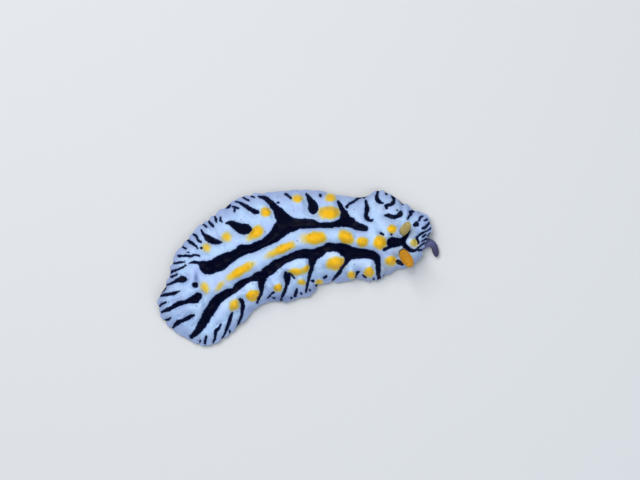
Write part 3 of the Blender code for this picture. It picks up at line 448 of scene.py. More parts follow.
def oval_distance(px, py, x, y, long, wide, turn):
    """Share of the way to an oval's edge: the sum of u and v over its half axes, each to a power.

    The power is 2 for a round oval and grows to 2.6 for a long one, whose ends are blunter. The root
    of the sum makes the share 1 on the edge.
    """
    c, s = math.cos(math.radians(turn)), math.sin(math.radians(turn))
    u, v = (px - x) * c + (py - y) * s, (py - y) * c - (px - x) * s
    power = 2 + 0.6 * min(max(long / wide - 1.3, 0), 1)
    return (np.abs(u / long)**power + np.abs(v / wide)**power)**(1 / power)


def knob_rise(px, py):
    """Height of the knobs: each falls off as the exponential of a power of the share to its edge."""
    rise = np.zeros(px.shape)
    for x, y, long, wide, turn, tall, _ in KNOBS:
        if tall:
            bump = np.exp(-KNOB_FALL * oval_distance(px, py, x, y, long, wide, turn)**KNOB_POWER)
            rise = np.maximum(rise, tall * (KNOB_LOW + KNOB_RISE * wide) * bump)
    return rise


def cap_tone(px, py):
    """Strength of the yellow: it falls evenly from a cap's middle to nothing at CAP_END of its edge.

    Two small waves in each direction move the plan first, so no cap is a perfect oval.
    """
    level = np.zeros(px.shape)
    px = px + 0.06 * np.sin(2.9 * py + 1.3 * px) + 0.03 * np.sin(5.1 * py - 2.2 * px)
    py = py + 0.06 * np.sin(3.3 * px - 0.9 * py + 1.0) + 0.03 * np.sin(4.7 * px + 2.9 * py)
    for *oval, _, tone in KNOBS:
        share = oval_distance(px, py, *oval)
        level = np.maximum(level, tone * np.clip(CAP_END - share, 0, CAP_END) / CAP_END)
    return level


print(len(KNOBS), "knobs and caps")

# %% [markdown]
# Between its marks the skin isn't one even blue. Dark smudges, partly the skin's own and partly
# painted shade on the low flanks, the tail and the head front, pale places on knobs and ridges, partly the
# skin's own and partly painted light on their lit tops, and patches of painted shade low on the flanks
# and by the head are soft ovals: centre, half width, half height and strength.

# %% Soft patches of tone, painted light and painted shade
# Three tables: dark smudges, partly painted shade; pale places, partly painted light on lit tops; patches of
# painted shade
PATCHES = {"smudge_and_shade": numbers("""
-20.4 -1.9 .5 1.3 1, -19 -6.9 .4 1.3 .5, -22.2 -7.7 .5 .3 .35, 20.1 7.6 .6 .9 .4, 19.9 3.4 .5 .6 .35,
-20.4 3.7 .5 .5 .3, 25.4 6.2 1.1 2.6 .4, -3.6 -6.3 2.8 .9 1, 13.9 9.6 .5 .4 .3, -23.5 -9.5 4.5 4.5 .27,
3.6 -4 1.5 .8 .4, -9.5 -8.2 1.2 .7 .4, 18.3 2.9 1.3 .5 .4, -26.6 -7.4 1 3.6 .3, 22.2 9.4 .9 .8 .2,
24.6 1.6 .9 1.6 .55, 5.3 .5 .5 .7 .3, -25.3 -1 1.8 4.5 .25, -22.6 5.2 2.4 2.2 .28"""), "pale": numbers("""
23.1 5 1.6 1.6 .65, -18.5 -3.9 1.3 1.6 .3, 12.2 1 2.6 1 .45, 17 12 2.2 1.6 .35, 7.2 2.6 2 .7 .5,
0 1.2 2 .8 .35, -14.8 -7 1.8 2.4 .3, -9.5 -3.6 1.6 .7 .5"""), "painted_shade": numbers("""
20.2 3 1.6 1.3 .65, 19.2 7.2 1.5 1.5 .4, 17.6 -.2 2.4 2.4 .65, 22.8 .6 1.6 2.2 .6, 13 -2.6 2.4 1.2 .6,
4.4 10.2 1.2 .8 .5, 22.8 7.2 .9 1.2 .4, -1.8 -1.8 1.5 1 .3, 3.2 -4.6 2.2 1 .4""")}


def oval_tone(px, py, ovals):
    """Strength of the patches: one bell along the plan times one across it."""
    level = np.zeros(px.shape)
    for x, y, wide, high, tone in ovals:
        level = np.maximum(level, tone * bell(px - x, wide) * bell(py - y, high))
    return level


print("patches", {label: len(ovals) for label, ovals in PATCHES.items()})

# %% [markdown]
# Heights come next. The back is a dome from the crest down to a thin rim, fuller on the animal's
# right where the skirt drops steeply. The rim waves close to the table and lifts over the mouth.
# Below it are the roof of the gill groove, the body wall, and the foot with its flat sole.

# %% Heights of the body
CREST = numbers("0 5.6, 6 7.1, 14 8.8, 22 9.4, 30 8.9, 36 7.9, 42 6.6")
SLOW_SHARE = 0.25
DOME_POWER = 2.5
DOME_LOPSIDED = 0.35
THICK_POWER = 0.6
RIM_THICK = 0.7
RIM_LOW = 0.45
RIM_WAVE = 0.28
FRONT_LIFT = 1.5
MANTLE_THICK = 2.2
BELLY_HIGH = 2.3
PALATE_HIGH = 3.7
PALATE_START = 37.5
PALATE_END = 40.0
WALL_REACH = 0.46


def rim_height(mark, side, front):
    """Height of the underside of the rim: two slow waves along the margin and a lift at the front.

    The waves start at another point on each side, so the sides don't mirror one another.
    """
    wave = np.sin(mark * 0.62 + 2.0 * side) + 0.6 * np.sin(mark * 1.27 - 1.3 * side + 1.0)
    return RIM_LOW + RIM_WAVE * 0.5 * (1 + wave / 1.6) + FRONT_LIFT * front**1.5


def dome_height(mark, side, front, reach):
    """Height of the back without its relief: a power curve mixed with a cosine, from crest to rim."""
    rim = rim_height(mark, side, front) + RIM_THICK
    crest = eased(CREST, mark)[..., 0]
    round_off = 1 - reach**(DOME_POWER - DOME_LOPSIDED * side)
    slow = 0.5 + 0.5 * np.cos(math.pi * reach)
    return rim + (crest - rim) * ((1 - SLOW_SHARE) * round_off + SLOW_SHARE * slow)


def belly_height(mark):
    """Height of the belly: level over the foot, rising in front of it to make room for the head."""
    return BELLY_HIGH + (PALATE_HIGH - BELLY_HIGH) * step_up(mark, PALATE_START, PALATE_END)


def roof_height(mark, side, front, reach):
    """Height of the underside of the skirt: the back less a thickness that thins to the rim."""
    dome = dome_height(mark, side, front, reach)
    thick = RIM_THICK + (MANTLE_THICK - RIM_THICK) * (1 - reach)**THICK_POWER
    return np.maximum(dome - thick, np.minimum(belly_height(mark), dome - RIM_THICK))


print("crest", max(high for mark, high in CREST), "mm")

# %% [markdown]
# Living skin is never quite smooth. A sum of a few seeded waves gives soft unevenness, and narrow
# pleats gather the skirt towards its margin, where it has more edge than it needs.

# %% Small unevenness of the skin
SEED = 11
WAVES = 14
WAVE_SHORTEST = 1.6
WAVE_LONGEST = 5.0
PLEATS_MOST = 1.7

draw = np.random.default_rng(SEED)
waves = [(math.tau / draw.uniform(WAVE_SHORTEST, WAVE_LONGEST), draw.uniform(0, math.tau),
          draw.uniform(0, math.tau)) for _ in range(WAVES)]


def soft_noise(x, y):
    """Gentle unevenness: the sum of all the crossing waves over the root of their number."""
    total = np.zeros(np.broadcast(x, y).shape)
    for pitch, heading, phase in waves:
        total += np.sin(pitch * (x * math.cos(heading) + y * math.sin(heading)) + phase)
    return total / math.sqrt(WAVES)


def pleats(arc):
    """Pleats along the margin: a wave of 2.6 mm whose pace sways, and one of 1.7 mm.

    The second is 0.7 as strong and swells and fades, so the sum can't pass PLEATS_MOST either way.
    """
    wide = np.sin(arc * math.tau / 2.6 + 0.8 * np.sin(arc * 0.31))
    narrow = 0.7 * np.sin(arc * math.tau / 1.7) * np.sin(arc * 0.23)
    return wide + narrow


edge_step = np.linalg.norm(outer - np.roll(outer, 1, axis=0), axis=1)
arc = np.cumsum(edge_step)[:, None]
print("margin", round(float(arc[-1, 0])), "mm round")

# %% [markdown]
# Now the skin itself, in one closed sheet: the back from the midline out, round the rim, in again
# under the skirt, down the body wall and across the sole to the midline below. The margin comes
# first. It is notched at the ends of the black bars and scalloped by the same waves as the pleats.

# %% Margin of the mantle
NOTCH = 0.28
NOTCH_WIDE = 0.35
RAGGED = 0.08
SCALLOP = 0.22
SCALLOP_MEAN = 0.08
SCALLOP_SHIFT = 0.6

edge_high = rim_height(ray_mark, ray_side, ray_front) + RIM_THICK / 2
edge_away = read_strokes(outer[:, 0], outer[:, 1], edge_high[:, 0])[0]
out_way = unit(outer - inner)
ragged = RAGGED * (1 + soft_noise(outer[:, 0], outer[:, 1]))
notch = NOTCH * bell(np.maximum(edge_away, 0), NOTCH_WIDE) + ragged
scallop = SCALLOP * (0.5 + 0.5 * pleats(arc + SCALLOP_SHIFT) / PLEATS_MOST)**2 - SCALLOP_MEAN
margin = outer - out_way * (notch[:, None] + scallop)
print("margin drawn in by up to", round(float((notch[:, None] + scallop).max()), 2), "mm")


def on_rays(reach, high):
    """Points at a share of the way from the midline to the margin and at a height, rays by rings."""
    plan = inner[:, None] + (margin - inner)[:, None] * reach[..., None]
    return np.dstack([plan, high])


# %% [markdown]
# The back starts as a smooth dome. Its relief is added along a lean between the slope's own normal and
# straight up, and straight up at the crest, so no knob folds over its neighbour. Furrows and knobs are
# looked up where the camera sees each point, so they lie true in its view however high the back is.

# %% The back
TOP_RINGS = 74
RIM_RINGS = 5
PLEAT_DEEP = 0.16
NOISE_DEEP = 0.07
PILLOW_DEEP = 0.30
PILLOW_WIDE = 0.9
FURROW_FADE = 0.55
SKIRT_KEPT = 0.65
WALL_CLEAR = 0.06
KNOB_LEAN = 0.65
KNOB_LIFT = 0.7
KNOB_EDGE = 0.12
CREST_CALM = 0.3
POCKETS = {"rhinophore_left": (21.1, 7.2), "rhinophore_right": (21.05, 3.05)}
POCKET_RADIUS = 0.75
COLLAR_HIGH = 0.35
COLLAR_AWAY = 0.25
COLLAR_WIDE = 0.3
PIT_DEEP = 0.5
PIT_SLOPE = 0.35
UP = np.array([0, 0, 1.0])

top_reach = (np.arange(1, TOP_RINGS + 1) / TOP_RINGS)[None, :]
dome = dome_height(ray_mark, ray_side, ray_front, top_reach)
base = on_rays(top_reach, dome)
level = np.zeros(STATIONS + 1)
middle = np.column_stack([spine, dome_height(marks, level, level, level)])
whole = np.concatenate([middle[owner][:, None], base], axis=1)
around = np.roll(whole, -1, axis=0) - np.roll(whole, 1, axis=0)
normal = unit(np.cross(np.gradient(whole, axis=1), around))
normal *= np.sign(normal[..., 2:] + TINY)
calm = step_up(np.r_[0, top_reach[0]], 0, CREST_CALM)[None, :, None] * KNOB_LEAN
lean = unit(normal * calm + UP * (1 - calm))


def add_relief(points, leans, reach, arcs, room):
    """Move points along their lean: knobs and collars out, furrows and pits in, pleats both ways.

    A furrow goes no deeper than the room given for it, which keeps the skirt sound over the gills.
    """
    x, y, z = np.moveaxis(points, -1, 0)
    away, furrow = read_strokes(x.ravel(), y.ravel(), z.ravel())
    furrow += PILLOW_DEEP * bell(np.maximum(away, 0), PILLOW_WIDE)
    furrow = np.minimum(furrow.reshape(reach.shape) * (1 - reach**2)**FURROW_FADE, room)
    lifted = np.moveaxis(points + leans * KNOB_LIFT, -1, 0)
    rise = knob_rise(*seen_from_above(*lifted)) * step_up(1 - reach, 0, KNOB_EDGE)
    rise += NOISE_DEEP * soft_noise(x, y) * (1 - 0.5 * reach)
    rise += PLEAT_DEEP * pleats(arcs) * reach**3 * (1 - reach**8)
    px, py = seen_from_above(x, y, z)
    for place in POCKETS.values():
        apart = np.hypot(px - place[0], py - place[1])
        rise += COLLAR_HIGH * bell(apart - POCKET_RADIUS - COLLAR_AWAY, COLLAR_WIDE)
        rise -= PIT_DEEP * step_up(-apart, -POCKET_RADIUS, PIT_SLOPE - POCKET_RADIUS)
    return points + leans * (rise - furrow)[..., None]


spare = (dome - roof_height(ray_mark, ray_side, ray_front, top_reach) - SKIRT_KEPT) * lean[:, 1:, 2]
spare = np.where(top_reach < WALL_REACH - WALL_CLEAR, FAR, np.maximum(spare, 0))
top = add_relief(base, lean[:, 1:], *np.broadcast_arrays(top_reach, arc), spare)
still = np.zeros((STATIONS + 1, 1))
ridge = add_relief(middle[:, None], np.broadcast_to(UP, (STATIONS + 1, 1, 3)), still, still, FAR)[:, 0]
print("back", round(float(top[..., 2].max()), 2), "mm high")

# %% [markdown]
# The rim is a half round between the last ring of the back and the first ring below it. Under it the
# same rays run inwards. The foot is part of the same sheet: its side drops from the belly, and in
# front of the foot the rings climb to the roof over the head.

# %% Rim, skirt, wall and foot
RIM_BULGE = 0.2
SKIRT_RINGS = 12
FOOT_REACH = 0.42
FOOT_END = PALATE_START + 0.6
FOOT_ROUND = 4.0
ROUND_MOST = 0.97
FRONT_WALL = 0.35
# Each row: share of the ray in front of the foot, share of the foot's half width, height on the foot
FOOT_ROWS = numbers("""
1.04 1.02 2.28, .98 .96 2.05, .9 1 1.55, .82 1.02 .95, .74 1.01 .4, .66 .97 .1, .56 .9 0, .4 .6 0,
.2 .3 0""")

turn = np.linspace(0, math.pi, RIM_RINGS + 2)[1:-1][None, :]
low_edge = rim_height(ray_mark, ray_side, ray_front)
half = (top[:, -1, 2:] - low_edge) / 2
bulge = out_way[:, None] * np.sin(turn)[..., None] * RIM_BULGE
rim = np.dstack([margin[:, None] + bulge, low_edge + half + half * np.cos(turn)])

skirt_reach = np.linspace(1, WALL_REACH, SKIRT_RINGS)[None, :]
roof = roof_height(ray_mark, ray_side, ray_front, skirt_reach)
roof = roof - 0.5 * PLEAT_DEEP * pleats(arc) * skirt_reach**3 * (1 - skirt_reach**8)
skirt = on_rays(skirt_reach, roof)

rounding = np.clip((ray_mark - FOOT_END + FOOT_ROUND) / FOOT_ROUND, 0, ROUND_MOST)
foot_half = FOOT_REACH * np.sqrt(1 - rounding**2)
on_foot = 1 - step_up(ray_mark, FOOT_END - FRONT_WALL, FOOT_END)
foot_reach = on_foot * foot_half * FOOT_ROWS[:, 1] + (1 - on_foot) * FOOT_REACH * FOOT_ROWS[:, 0]
foot = on_rays(foot_reach, on_foot * FOOT_ROWS[:, 2] + (1 - on_foot) * belly_height(ray_mark))
sole_on = 1 - step_up(marks, FOOT_END - FRONT_WALL, FOOT_END)
sole = np.column_stack([spine, (1 - sole_on) * belly_height(marks)])

sheet = np.concatenate([top, rim, skirt, foot], axis=1)
RINGS = sheet.shape[1]
skin_points = np.vstack([ridge, sheet.reshape(-1, 3), sole])
ring_first = STATIONS + 1
sole_first = ring_first + RAYS * RINGS


def strip_to_middle(first, ring, over):
    """Faces between one ring and the midline's points: triangles in the fans, four sides elsewhere."""
    here = np.arange(RAYS)
    after = (here + 1) % RAYS
    a, b = ring_first + here * RINGS + ring, ring_first + after * RINGS + ring
    p, q = first + owner[here], first + owner[after]
    fan = p == q
    threes = np.stack([p, a, b], axis=1)[fan]
    fours = np.stack([p, a, b, q], axis=1)[~fan]
    return [threes if over else threes[:, ::-1], fours if over else fours[:, ::-1]]


skin_faces = [grid_faces(RAYS, RINGS, ring_first, closed_rows=True)]
skin_faces += strip_to_middle(0, 0, True) + strip_to_middle(sole_first, RINGS - 1, False)
print("skin sheet", RAYS, "by", RINGS)

# %% [markdown]
# The small head sits under the front of the mantle: a bulb with a lipped mouth, and an oral tentacle
# at each side of it. The right one reaches out in front, as in life. They are flesh like the rest, so
# they are part of the same skin and sink a little into one another.

# %% Head and oral tentacles
BULB_CENTRE = (21.7, 5.2, 1.95)
BULB_SIZE = (2.1, 2.3, 1.6)
BULB_TOP = PALATE_HIGH + 0.05
BULB_ROWS = 30
BULB_COLUMNS = 48
MOUTH_WAY = (0.94, 0.0, -0.34)
DENT_DEEP = 0.22
DENT_WIDE = 0.2
LIP_HIGH = 0.06
LIP_LOBES = 6
LOBE_HIGH = 0.02
LIP_AWAY = 0.42
LIP_WIDE = 0.15
TENTACLE_RADIUS = 0.80
TENTACLE_FLAT = 0.75
TENTACLE_TAPER = 0.12
TENTACLE_RINGS = 48
TENTACLE_COLUMNS = 28
GROOVE_DEEP = 0.22
GROOVE_WIDE = 0.5
HEAD_ZONE = 1.0
FEELER_ZONE = 2.0
SIDES = {"left": 1.0, "right": -1.0}
TENTACLES = {
    "left": numbers("22.7 6.7 1.85, 23.15 7.3 1.7, 24.2 8.2 1.4, 25.1 8.6 1.1, 25.85 8.2 .95"),
    "right": numbers("""
23.3 4 1.6, 24.4 4 1.3, 25.4 4.7 .95, 26.35 5.05 .9, 27 4.5 .88, 27.4 3.4 .85, 27.65 2.2 .82""")}


def all_round(columns):
    """Even steps of a full turn, as one row."""
    return (np.arange(columns) / columns * math.tau)[None, :]


def from_front(angle):
    """How far an angle is from 0, either way round."""
    return np.minimum(angle, math.tau - angle)


def blunt_end(share, start, square, least):
    """1 as far as the start, then a round fall: the root of 1 less the squared way over a square."""
    return np.sqrt(np.clip(1 - np.maximum(share - start, 0)**2 / square, least, 1))


def capped(points, first):
    """Close a grid of rings with a point at each end, and give its points and faces, turned outwards."""
    rows, columns = points.shape[:2]
    flat = np.vstack([points.reshape(-1, 3), points[0].mean(0), points[-1].mean(0)])
    start, end = first + rows * columns, first + rows * columns + 1
    k = np.arange(columns)
    near = np.stack([np.full(columns, start), first + k, first + (k + 1) % columns], axis=1)
    last = first + (rows - 1) * columns
    far = np.stack([np.full(columns, end), last + (k + 1) % columns, last + k], axis=1)
    faces = [grid_faces(rows, columns, first, closed_columns=True)[:, ::-1], near, far]
    middle = flat.mean(0)
    a, b, c = (flat[near[:, n] - first] for n in range(3))
    if (np.cross(b - a, c - a) * (a - middle)).sum() < 0:
        faces = [part[:, ::-1] for part in faces]
    return flat, faces


def bulb():
    """The head: an oval ball, flat on top, with a dent at the mouth and a lip round it.

    Dent and lip are bells of the angle from the mouth. A sine round the mouth makes lobes in the lip.
    """
    polar, around = (np.arange(1, BULB_ROWS) / BULB_ROWS * math.pi)[:, None], all_round(BULB_COLUMNS)
    out = np.sin(polar)
    way = np.dstack([out * np.cos(around), out * np.sin(around), np.cos(polar) + 0 * around])
    off = np.arccos(np.clip(way @ np.array(MOUTH_WAY), -1, 1))
    lip = np.abs(np.sin(LIP_LOBES / 2 * np.arctan2(way[..., 1], way[..., 2] - MOUTH_WAY[2])))
    swell = 1 - DENT_DEEP * bell(off, DENT_WIDE)
    swell = swell + (LIP_HIGH + LOBE_HIGH * lip) * bell(off - LIP_AWAY, LIP_WIDE)
    points = np.array(BULB_CENTRE) + way * swell[..., None] * np.array(BULB_SIZE)
    points[..., 2] = np.minimum(points[..., 2], BULB_TOP)
    return points


def tentacle(side, route):
    """An oral tentacle: a blunt, flattened tube along a smooth path, with a groove along its outer side.

    The radius tapers evenly and ends in a round tip. The groove is a bell of the angle round the tube.
    """
    path = smooth_path(route, TENTACLE_RINGS)[0]
    way = unit(np.gradient(path, axis=0))
    level = unit(np.cross(way, UP)) * -side
    up = np.cross(level, way) * side
    share = np.linspace(0, 1, TENTACLE_RINGS)[:, None]
    taper = (1 - TENTACLE_TAPER * share) * blunt_end(share, start=0.8, square=0.0405, least=0.02)
    angle = all_round(TENTACLE_COLUMNS)
    groove = 1 - GROOVE_DEEP * bell(from_front(angle), GROOVE_WIDE)
    radius = (TENTACLE_RADIUS * taper * groove)[..., None]
    ring = level[:, None] * np.cos(angle)[..., None] + up[:, None] * np.sin(angle)[..., None] * TENTACLE_FLAT
    return path[:, None] + ring * radius


extras = [(bulb(), HEAD_ZONE, 0.0)]
extras += [(tentacle(SIDES[name], route), FEELER_ZONE, 1.0) for name, route in TENTACLES.items()]
extra_zone, extra_reach = [], []
for points, zone, tip_reach in extras:
    flat, faces = capped(points, len(skin_points))
    skin_points = np.vstack([skin_points, flat])
    skin_faces += faces
    extra_zone.append(np.full(len(flat), zone))
    from_root = np.repeat(np.linspace(0, tip_reach, len(points)), points.shape[1])
    extra_reach.append(np.r_[from_root, 0, tip_reach])
print("head and", len(TENTACLES), "tentacles added")

# %% [markdown]
# The skin now gets the values that its material reads: distance to the black, strength of the yellow
# and of the soft patches, and reach along the ray, which on an oral tentacle runs from root to tip.
# The zone is 0 for the body, 1 for the head and 2 for the tentacles. The last value, called under,
# goes from 0 on the back to 1 below the rim.

# %% Make the skin
ring_of = np.tile(np.arange(RINGS), RAYS)
back = np.zeros(len(skin_points), bool)
back[:ring_first] = True
back[ring_first:sole_first] = ring_of < TOP_RINGS + RIM_RINGS
back_points = skin_points[back].T
px, py = seen_from_above(*back_points)


def over_skin(values, elsewhere=0.0):
    """Values that were read on the back, spread over the whole skin with one value elsewhere."""
    spread = np.full(len(skin_points), elsewhere)
    spread[back] = values
    return spread


told = {"band": over_skin(read_strokes(*back_points)[0], FAR), "cap": over_skin(cap_tone(px, py))}
for label, ovals in PATCHES.items():
    told[label] = over_skin(oval_tone(px, py, ovals))
ring_reach = np.r_[top_reach[0], np.ones(RIM_RINGS), skirt_reach[0], FOOT_ROWS[:, 1] * FOOT_REACH]
told["reach"] = np.r_[np.zeros(ring_first), np.tile(ring_reach, RAYS), np.zeros(STATIONS + 1), *extra_reach]
told["zone"] = np.r_[np.zeros(sole_first + STATIONS + 1), *extra_zone]
told["under"] = np.r_[np.zeros(ring_first), np.clip((ring_of - TOP_RINGS) / RIM_RINGS, 0, 1),
                      np.ones(len(skin_points) - sole_first)]
skin = make_piece("skin", skin_points, skin_faces, told)

# %% [markdown]
# Rhinophores smell the water. Each is a club of thin stacked leaves on a short stalk, and leans out
# of its pocket. The leaves are one turned surface whose radius rises and falls nineteen times along
# the club, tilted so that they slope down to the back.

# %% Rhinophores
CLUB_RADIUS = {"rhinophore_left": 0.87, "rhinophore_right": 1.10}
STALK_RADIUS = 0.62
CLUB_START = 0.16
CLUB_LEAVES = 19
CLUB_ROOT = 0.9
CLUB_RINGS = 200
CLUB_COLUMNS = 40
CLUB_FRONT = np.array([0.9, 0, 0.3])
HOLLOW = 0.80
KEEL_HIGH = 0.07
KEEL_WIDE = 0.22
TIPS = {"rhinophore_left": (21.65, 8.85, 9.3), "rhinophore_right": (22.0, 0.55, 9.0)}


def rhinophore(name):
    """A leaning club: rings of changing radius along a line, each leaf a sharp-edged swelling.

    The club's outline is a power of a sine. Each leaf swells from the hollow's share of it to the whole
    as a half circle, and neighbours differ by up to a fortieth. The rings slope by half the radius, and
    a low keel, a bell of the angle, runs up the front.
    """
    place = POCKETS[name]
    seen = np.dstack(seen_from_above(*np.moveaxis(base, -1, 0)))
    nearest = np.unravel_index(np.argmin(np.hypot(*(seen - place).transpose(2, 0, 1))), dome.shape)
    start, tip = base[nearest], np.array(TIPS[name])
    axis = unit(tip - start)
    root = start - axis * CLUB_ROOT
    share = np.linspace(0, 1, CLUB_RINGS)[:, None]
    along = np.clip((share - CLUB_START) / (1 - CLUB_START), 0, 1)
    outline = CLUB_RADIUS[name] * np.sin(math.pi * (0.20 + 0.68 * along))**0.7
    leaf = (along * CLUB_LEAVES) % 1.0
    blade = HOLLOW + (1 - HOLLOW) * np.sqrt(np.clip(1 - (2 * leaf - 1)**2, 0, 1))
    blade = blade + 0.025 * np.sin(9.7 * np.floor(along * CLUB_LEAVES))
    radius = np.where(share < CLUB_START, STALK_RADIUS, outline * blade)
    angle = all_round(CLUB_COLUMNS)
    front = unit(CLUB_FRONT - axis * (CLUB_FRONT @ axis))
    slope = 0.5 * radius * np.cos(angle) * step_up(share, 0.25, 0.4) * (1 - step_up(share, 0.9, 1.0))
    keel = 1 + KEEL_HIGH * bell(from_front(angle), KEEL_WIDE)
    keel = keel * blunt_end(share, start=0.94, square=0.0037, least=0.01)
    ring = front * np.cos(angle)[..., None] + np.cross(axis, front) * np.sin(angle)[..., None]
    centre = root + axis * share[..., None] * np.linalg.norm(tip - root)
    points = centre + ring * (radius * keel)[..., None] + axis * slope[..., None]
    from_middle = np.repeat((leaf - 0.5) * 2, CLUB_COLUMNS)
    return make_piece("leafy_" + name, *capped(points, 0), {"leaf": np.r_[from_middle, 0, 0]})


clubs = {name: rhinophore(name) for name in POCKETS}

# %% [markdown]
# Animals of this family carry their gills as a row of thin leaflets in the groove under each side of
# the skirt. One leaflet is a small closed plate. The whole row is worked out at once as a block of
# arrays, with a place along the body for each. They show only from low down.

# %% Gill leaflets
LEAFLET_PITCH = 0.52
LEAFLET_START = 1.2
LEAFLET_END = 36.5
LEAFLET_INNER = 0.50
LEAFLET_OUTER = 0.78
LEAFLET_DROP = 1.5
LEAFLET_ROOT = 0.18
LEAFLET_HALF = 0.09
LEAFLET_BOW = 0.18
LEAFLET_CLEAR = 0.3
LEAFLET_COLUMNS = 7
# A leaflet cut across, point by point: how far down, and how far to the side as part of the half thickness
OUTLINE_DOWN = np.array([0, 0.4, 0.8, 1, 1, 0.8, 0.4, 0])
OUTLINE_SIDE = np.array([1, 0.8, 0.5, 0.2, -0.2, -0.5, -0.8, -1])

# Lengths of the rays of each side, from the tail to the head
lengths = np.linalg.norm(margin - inner, axis=1)
side_lengths = {1.0: lengths[STATIONS + 1 + FAN_RAYS:-FAN_RAYS][::-1], -1.0: lengths[:STATIONS + 1]}


def gill_row(name, side):
    """Leaflets across the groove, each a bowed plate that is rooted in the roof and thinnest below.

    Its drop is a power of a sine from its inner to its outer end, and a slow sine along the body makes
    neighbours differ a little. It ends clear of the table.
    """
    places = np.arange(LEAFLET_START, LEAFLET_END, LEAFLET_PITCH)
    centre = eased(np.column_stack([marks, spine]), places)
    forward = eased(np.column_stack([marks, ahead]), places)
    sideways = np.stack([-forward[:, 1], forward[:, 0]], axis=1) * side
    wide = np.interp(places, marks, side_lengths[side])[:, None]
    u = np.linspace(0, 1, LEAFLET_COLUMNS)
    reach = LEAFLET_INNER + (LEAFLET_OUTER - LEAFLET_INNER) * u
    flat = centre[:, None] + sideways[:, None] * (wide * reach)[..., None]
    high = roof_height(places[:, None], np.full((len(places), 1), side), 0.0, reach[None, :])
    size = (0.85 + 0.15 * np.sin(places * 1.9))[:, None]
    swell = 0.12 + 0.88 * np.sin(math.pi * (0.08 + 0.84 * u))**0.7
    drop = np.minimum(LEAFLET_DROP * size * swell, high - LEAFLET_CLEAR)
    bow = LEAFLET_BOW * np.sin(math.pi * u)[:, None] + LEAFLET_HALF * OUTLINE_SIDE
    plan = flat[:, :, None] + forward[:, None, None] * bow[..., None]
    z = high[..., None] + LEAFLET_ROOT - (drop + LEAFLET_ROOT)[..., None] * OUTLINE_DOWN
    blocks = np.concatenate([plan, z[..., None]], axis=3)
    faces = capped(blocks[0], 0)[1]
    ends = np.stack([blocks[:, 0].mean(1), blocks[:, -1].mean(1)], axis=1)
    points = np.concatenate([blocks.reshape(len(places), -1, 3), ends], axis=1)
    shift = (np.arange(len(places)) * points.shape[1])[:, None, None]
    many = [(part[None] + shift).reshape(-1, part.shape[1]) for part in faces]
    edge = np.tile(np.r_[np.tile(OUTLINE_DOWN, LEAFLET_COLUMNS), 0.5, 0.5], len(places))
    return make_piece(name, points.reshape(-1, 3), many, {"edge": edge})


gills = [gill_row("gills_" + name, side) for name, side in SIDES.items()]

# %% [markdown]
# Materials come last. Each is a small graph, so one helper adds a node and fills or joins its inputs
# in one line, and shorter ones stand for the sums that come again and again. They find the graph that
# they work in from the sockets that they are given. All patterns are read in millimetres from Object
# coordinates, so a grain of 0.3 mm is 0.3 mm wherever it lies and doesn't slide with the camera.

# %% Helpers for shader graphs


def fill(node, fills):
    """Join sockets to inputs of a node and set values on others, by the inputs' names or numbers."""
    for label, value in fills:
        if isinstance(value, bpy.types.NodeSocket):
            node.id_data.links.new(value, node.inputs[label])
        else:
            node.inputs[label].default_value = value


def put(tree, kind, fills=(), **settings):
    """Add a node, set its properties and fill its inputs."""
    made = tree.nodes.new(kind)
    for label, value in settings.items():
        setattr(made, label, value)
    fill(made, fills)
    return made


def work(operation, a, b=0.0):
    """One sum, by the name of the operation, of two values of which at least one is a socket."""
    tree = (a if isinstance(a, bpy.types.NodeSocket) else b).id_data
    return put(tree, "ShaderNodeMath", [(0, a), (1, b)], operation=operation).outputs[0]


# The sums that come up most, under short names. The second value of less is taken from the first
plus, less, times = partial(work, "ADD"), partial(work, "SUBTRACT"), partial(work, "MULTIPLY")


def fade(value, low, high):
    """0 at low and 1 at high, with soft ends."""
    made = put(value.id_data, "ShaderNodeMapRange", [("Value", value), ("From Min", low), ("From Max", high)],
               interpolation_type="SMOOTHSTEP")
    return made.outputs["Result"]


def mixed(share, a, b):
    """Colour a where share is 0 and colour b where it is 1."""
    return put(share.id_data, "ShaderNodeMix", [(0, share), (6, a), (7, b)], data_type="RGBA").outputs[2]


def layered(colour, layers):
    """Colours laid over one another: each layer is the share that it covers and its colour."""
    for share, paint in layers:
        colour = mixed(share, colour, paint)
    return colour


def value_of(tree, label):
    """The named value that the mesh carries on its points."""
    return put(tree, "ShaderNodeAttribute", attribute_name=label).outputs["Fac"]


def noise(place, per_mm, detail=2.0, rough=0.5):
    """Cloudy noise, 0 to 1, with the given number of lumps to a millimetre."""
    made = put(place.id_data, "ShaderNodeTexNoise",
               [("Vector", place), ("Scale", per_mm), ("Detail", detail), ("Roughness", rough)])
    return made.outputs["Fac"]


def sway(place, per_mm, detail, rough, amount):
    """The same noise moved to lie about 0, then multiplied by an amount."""
    return times(less(noise(place, per_mm, detail, rough), 0.5), amount)


print("helpers ready")

# %% [markdown]
# Wet flesh is glossy only in patches: fine grains break up the shine. Every material of this animal
# uses the same effect with its own strength, so it is one node group that gives a roughness and a
# bumped normal.

# %% Moist grain, shared by every flesh


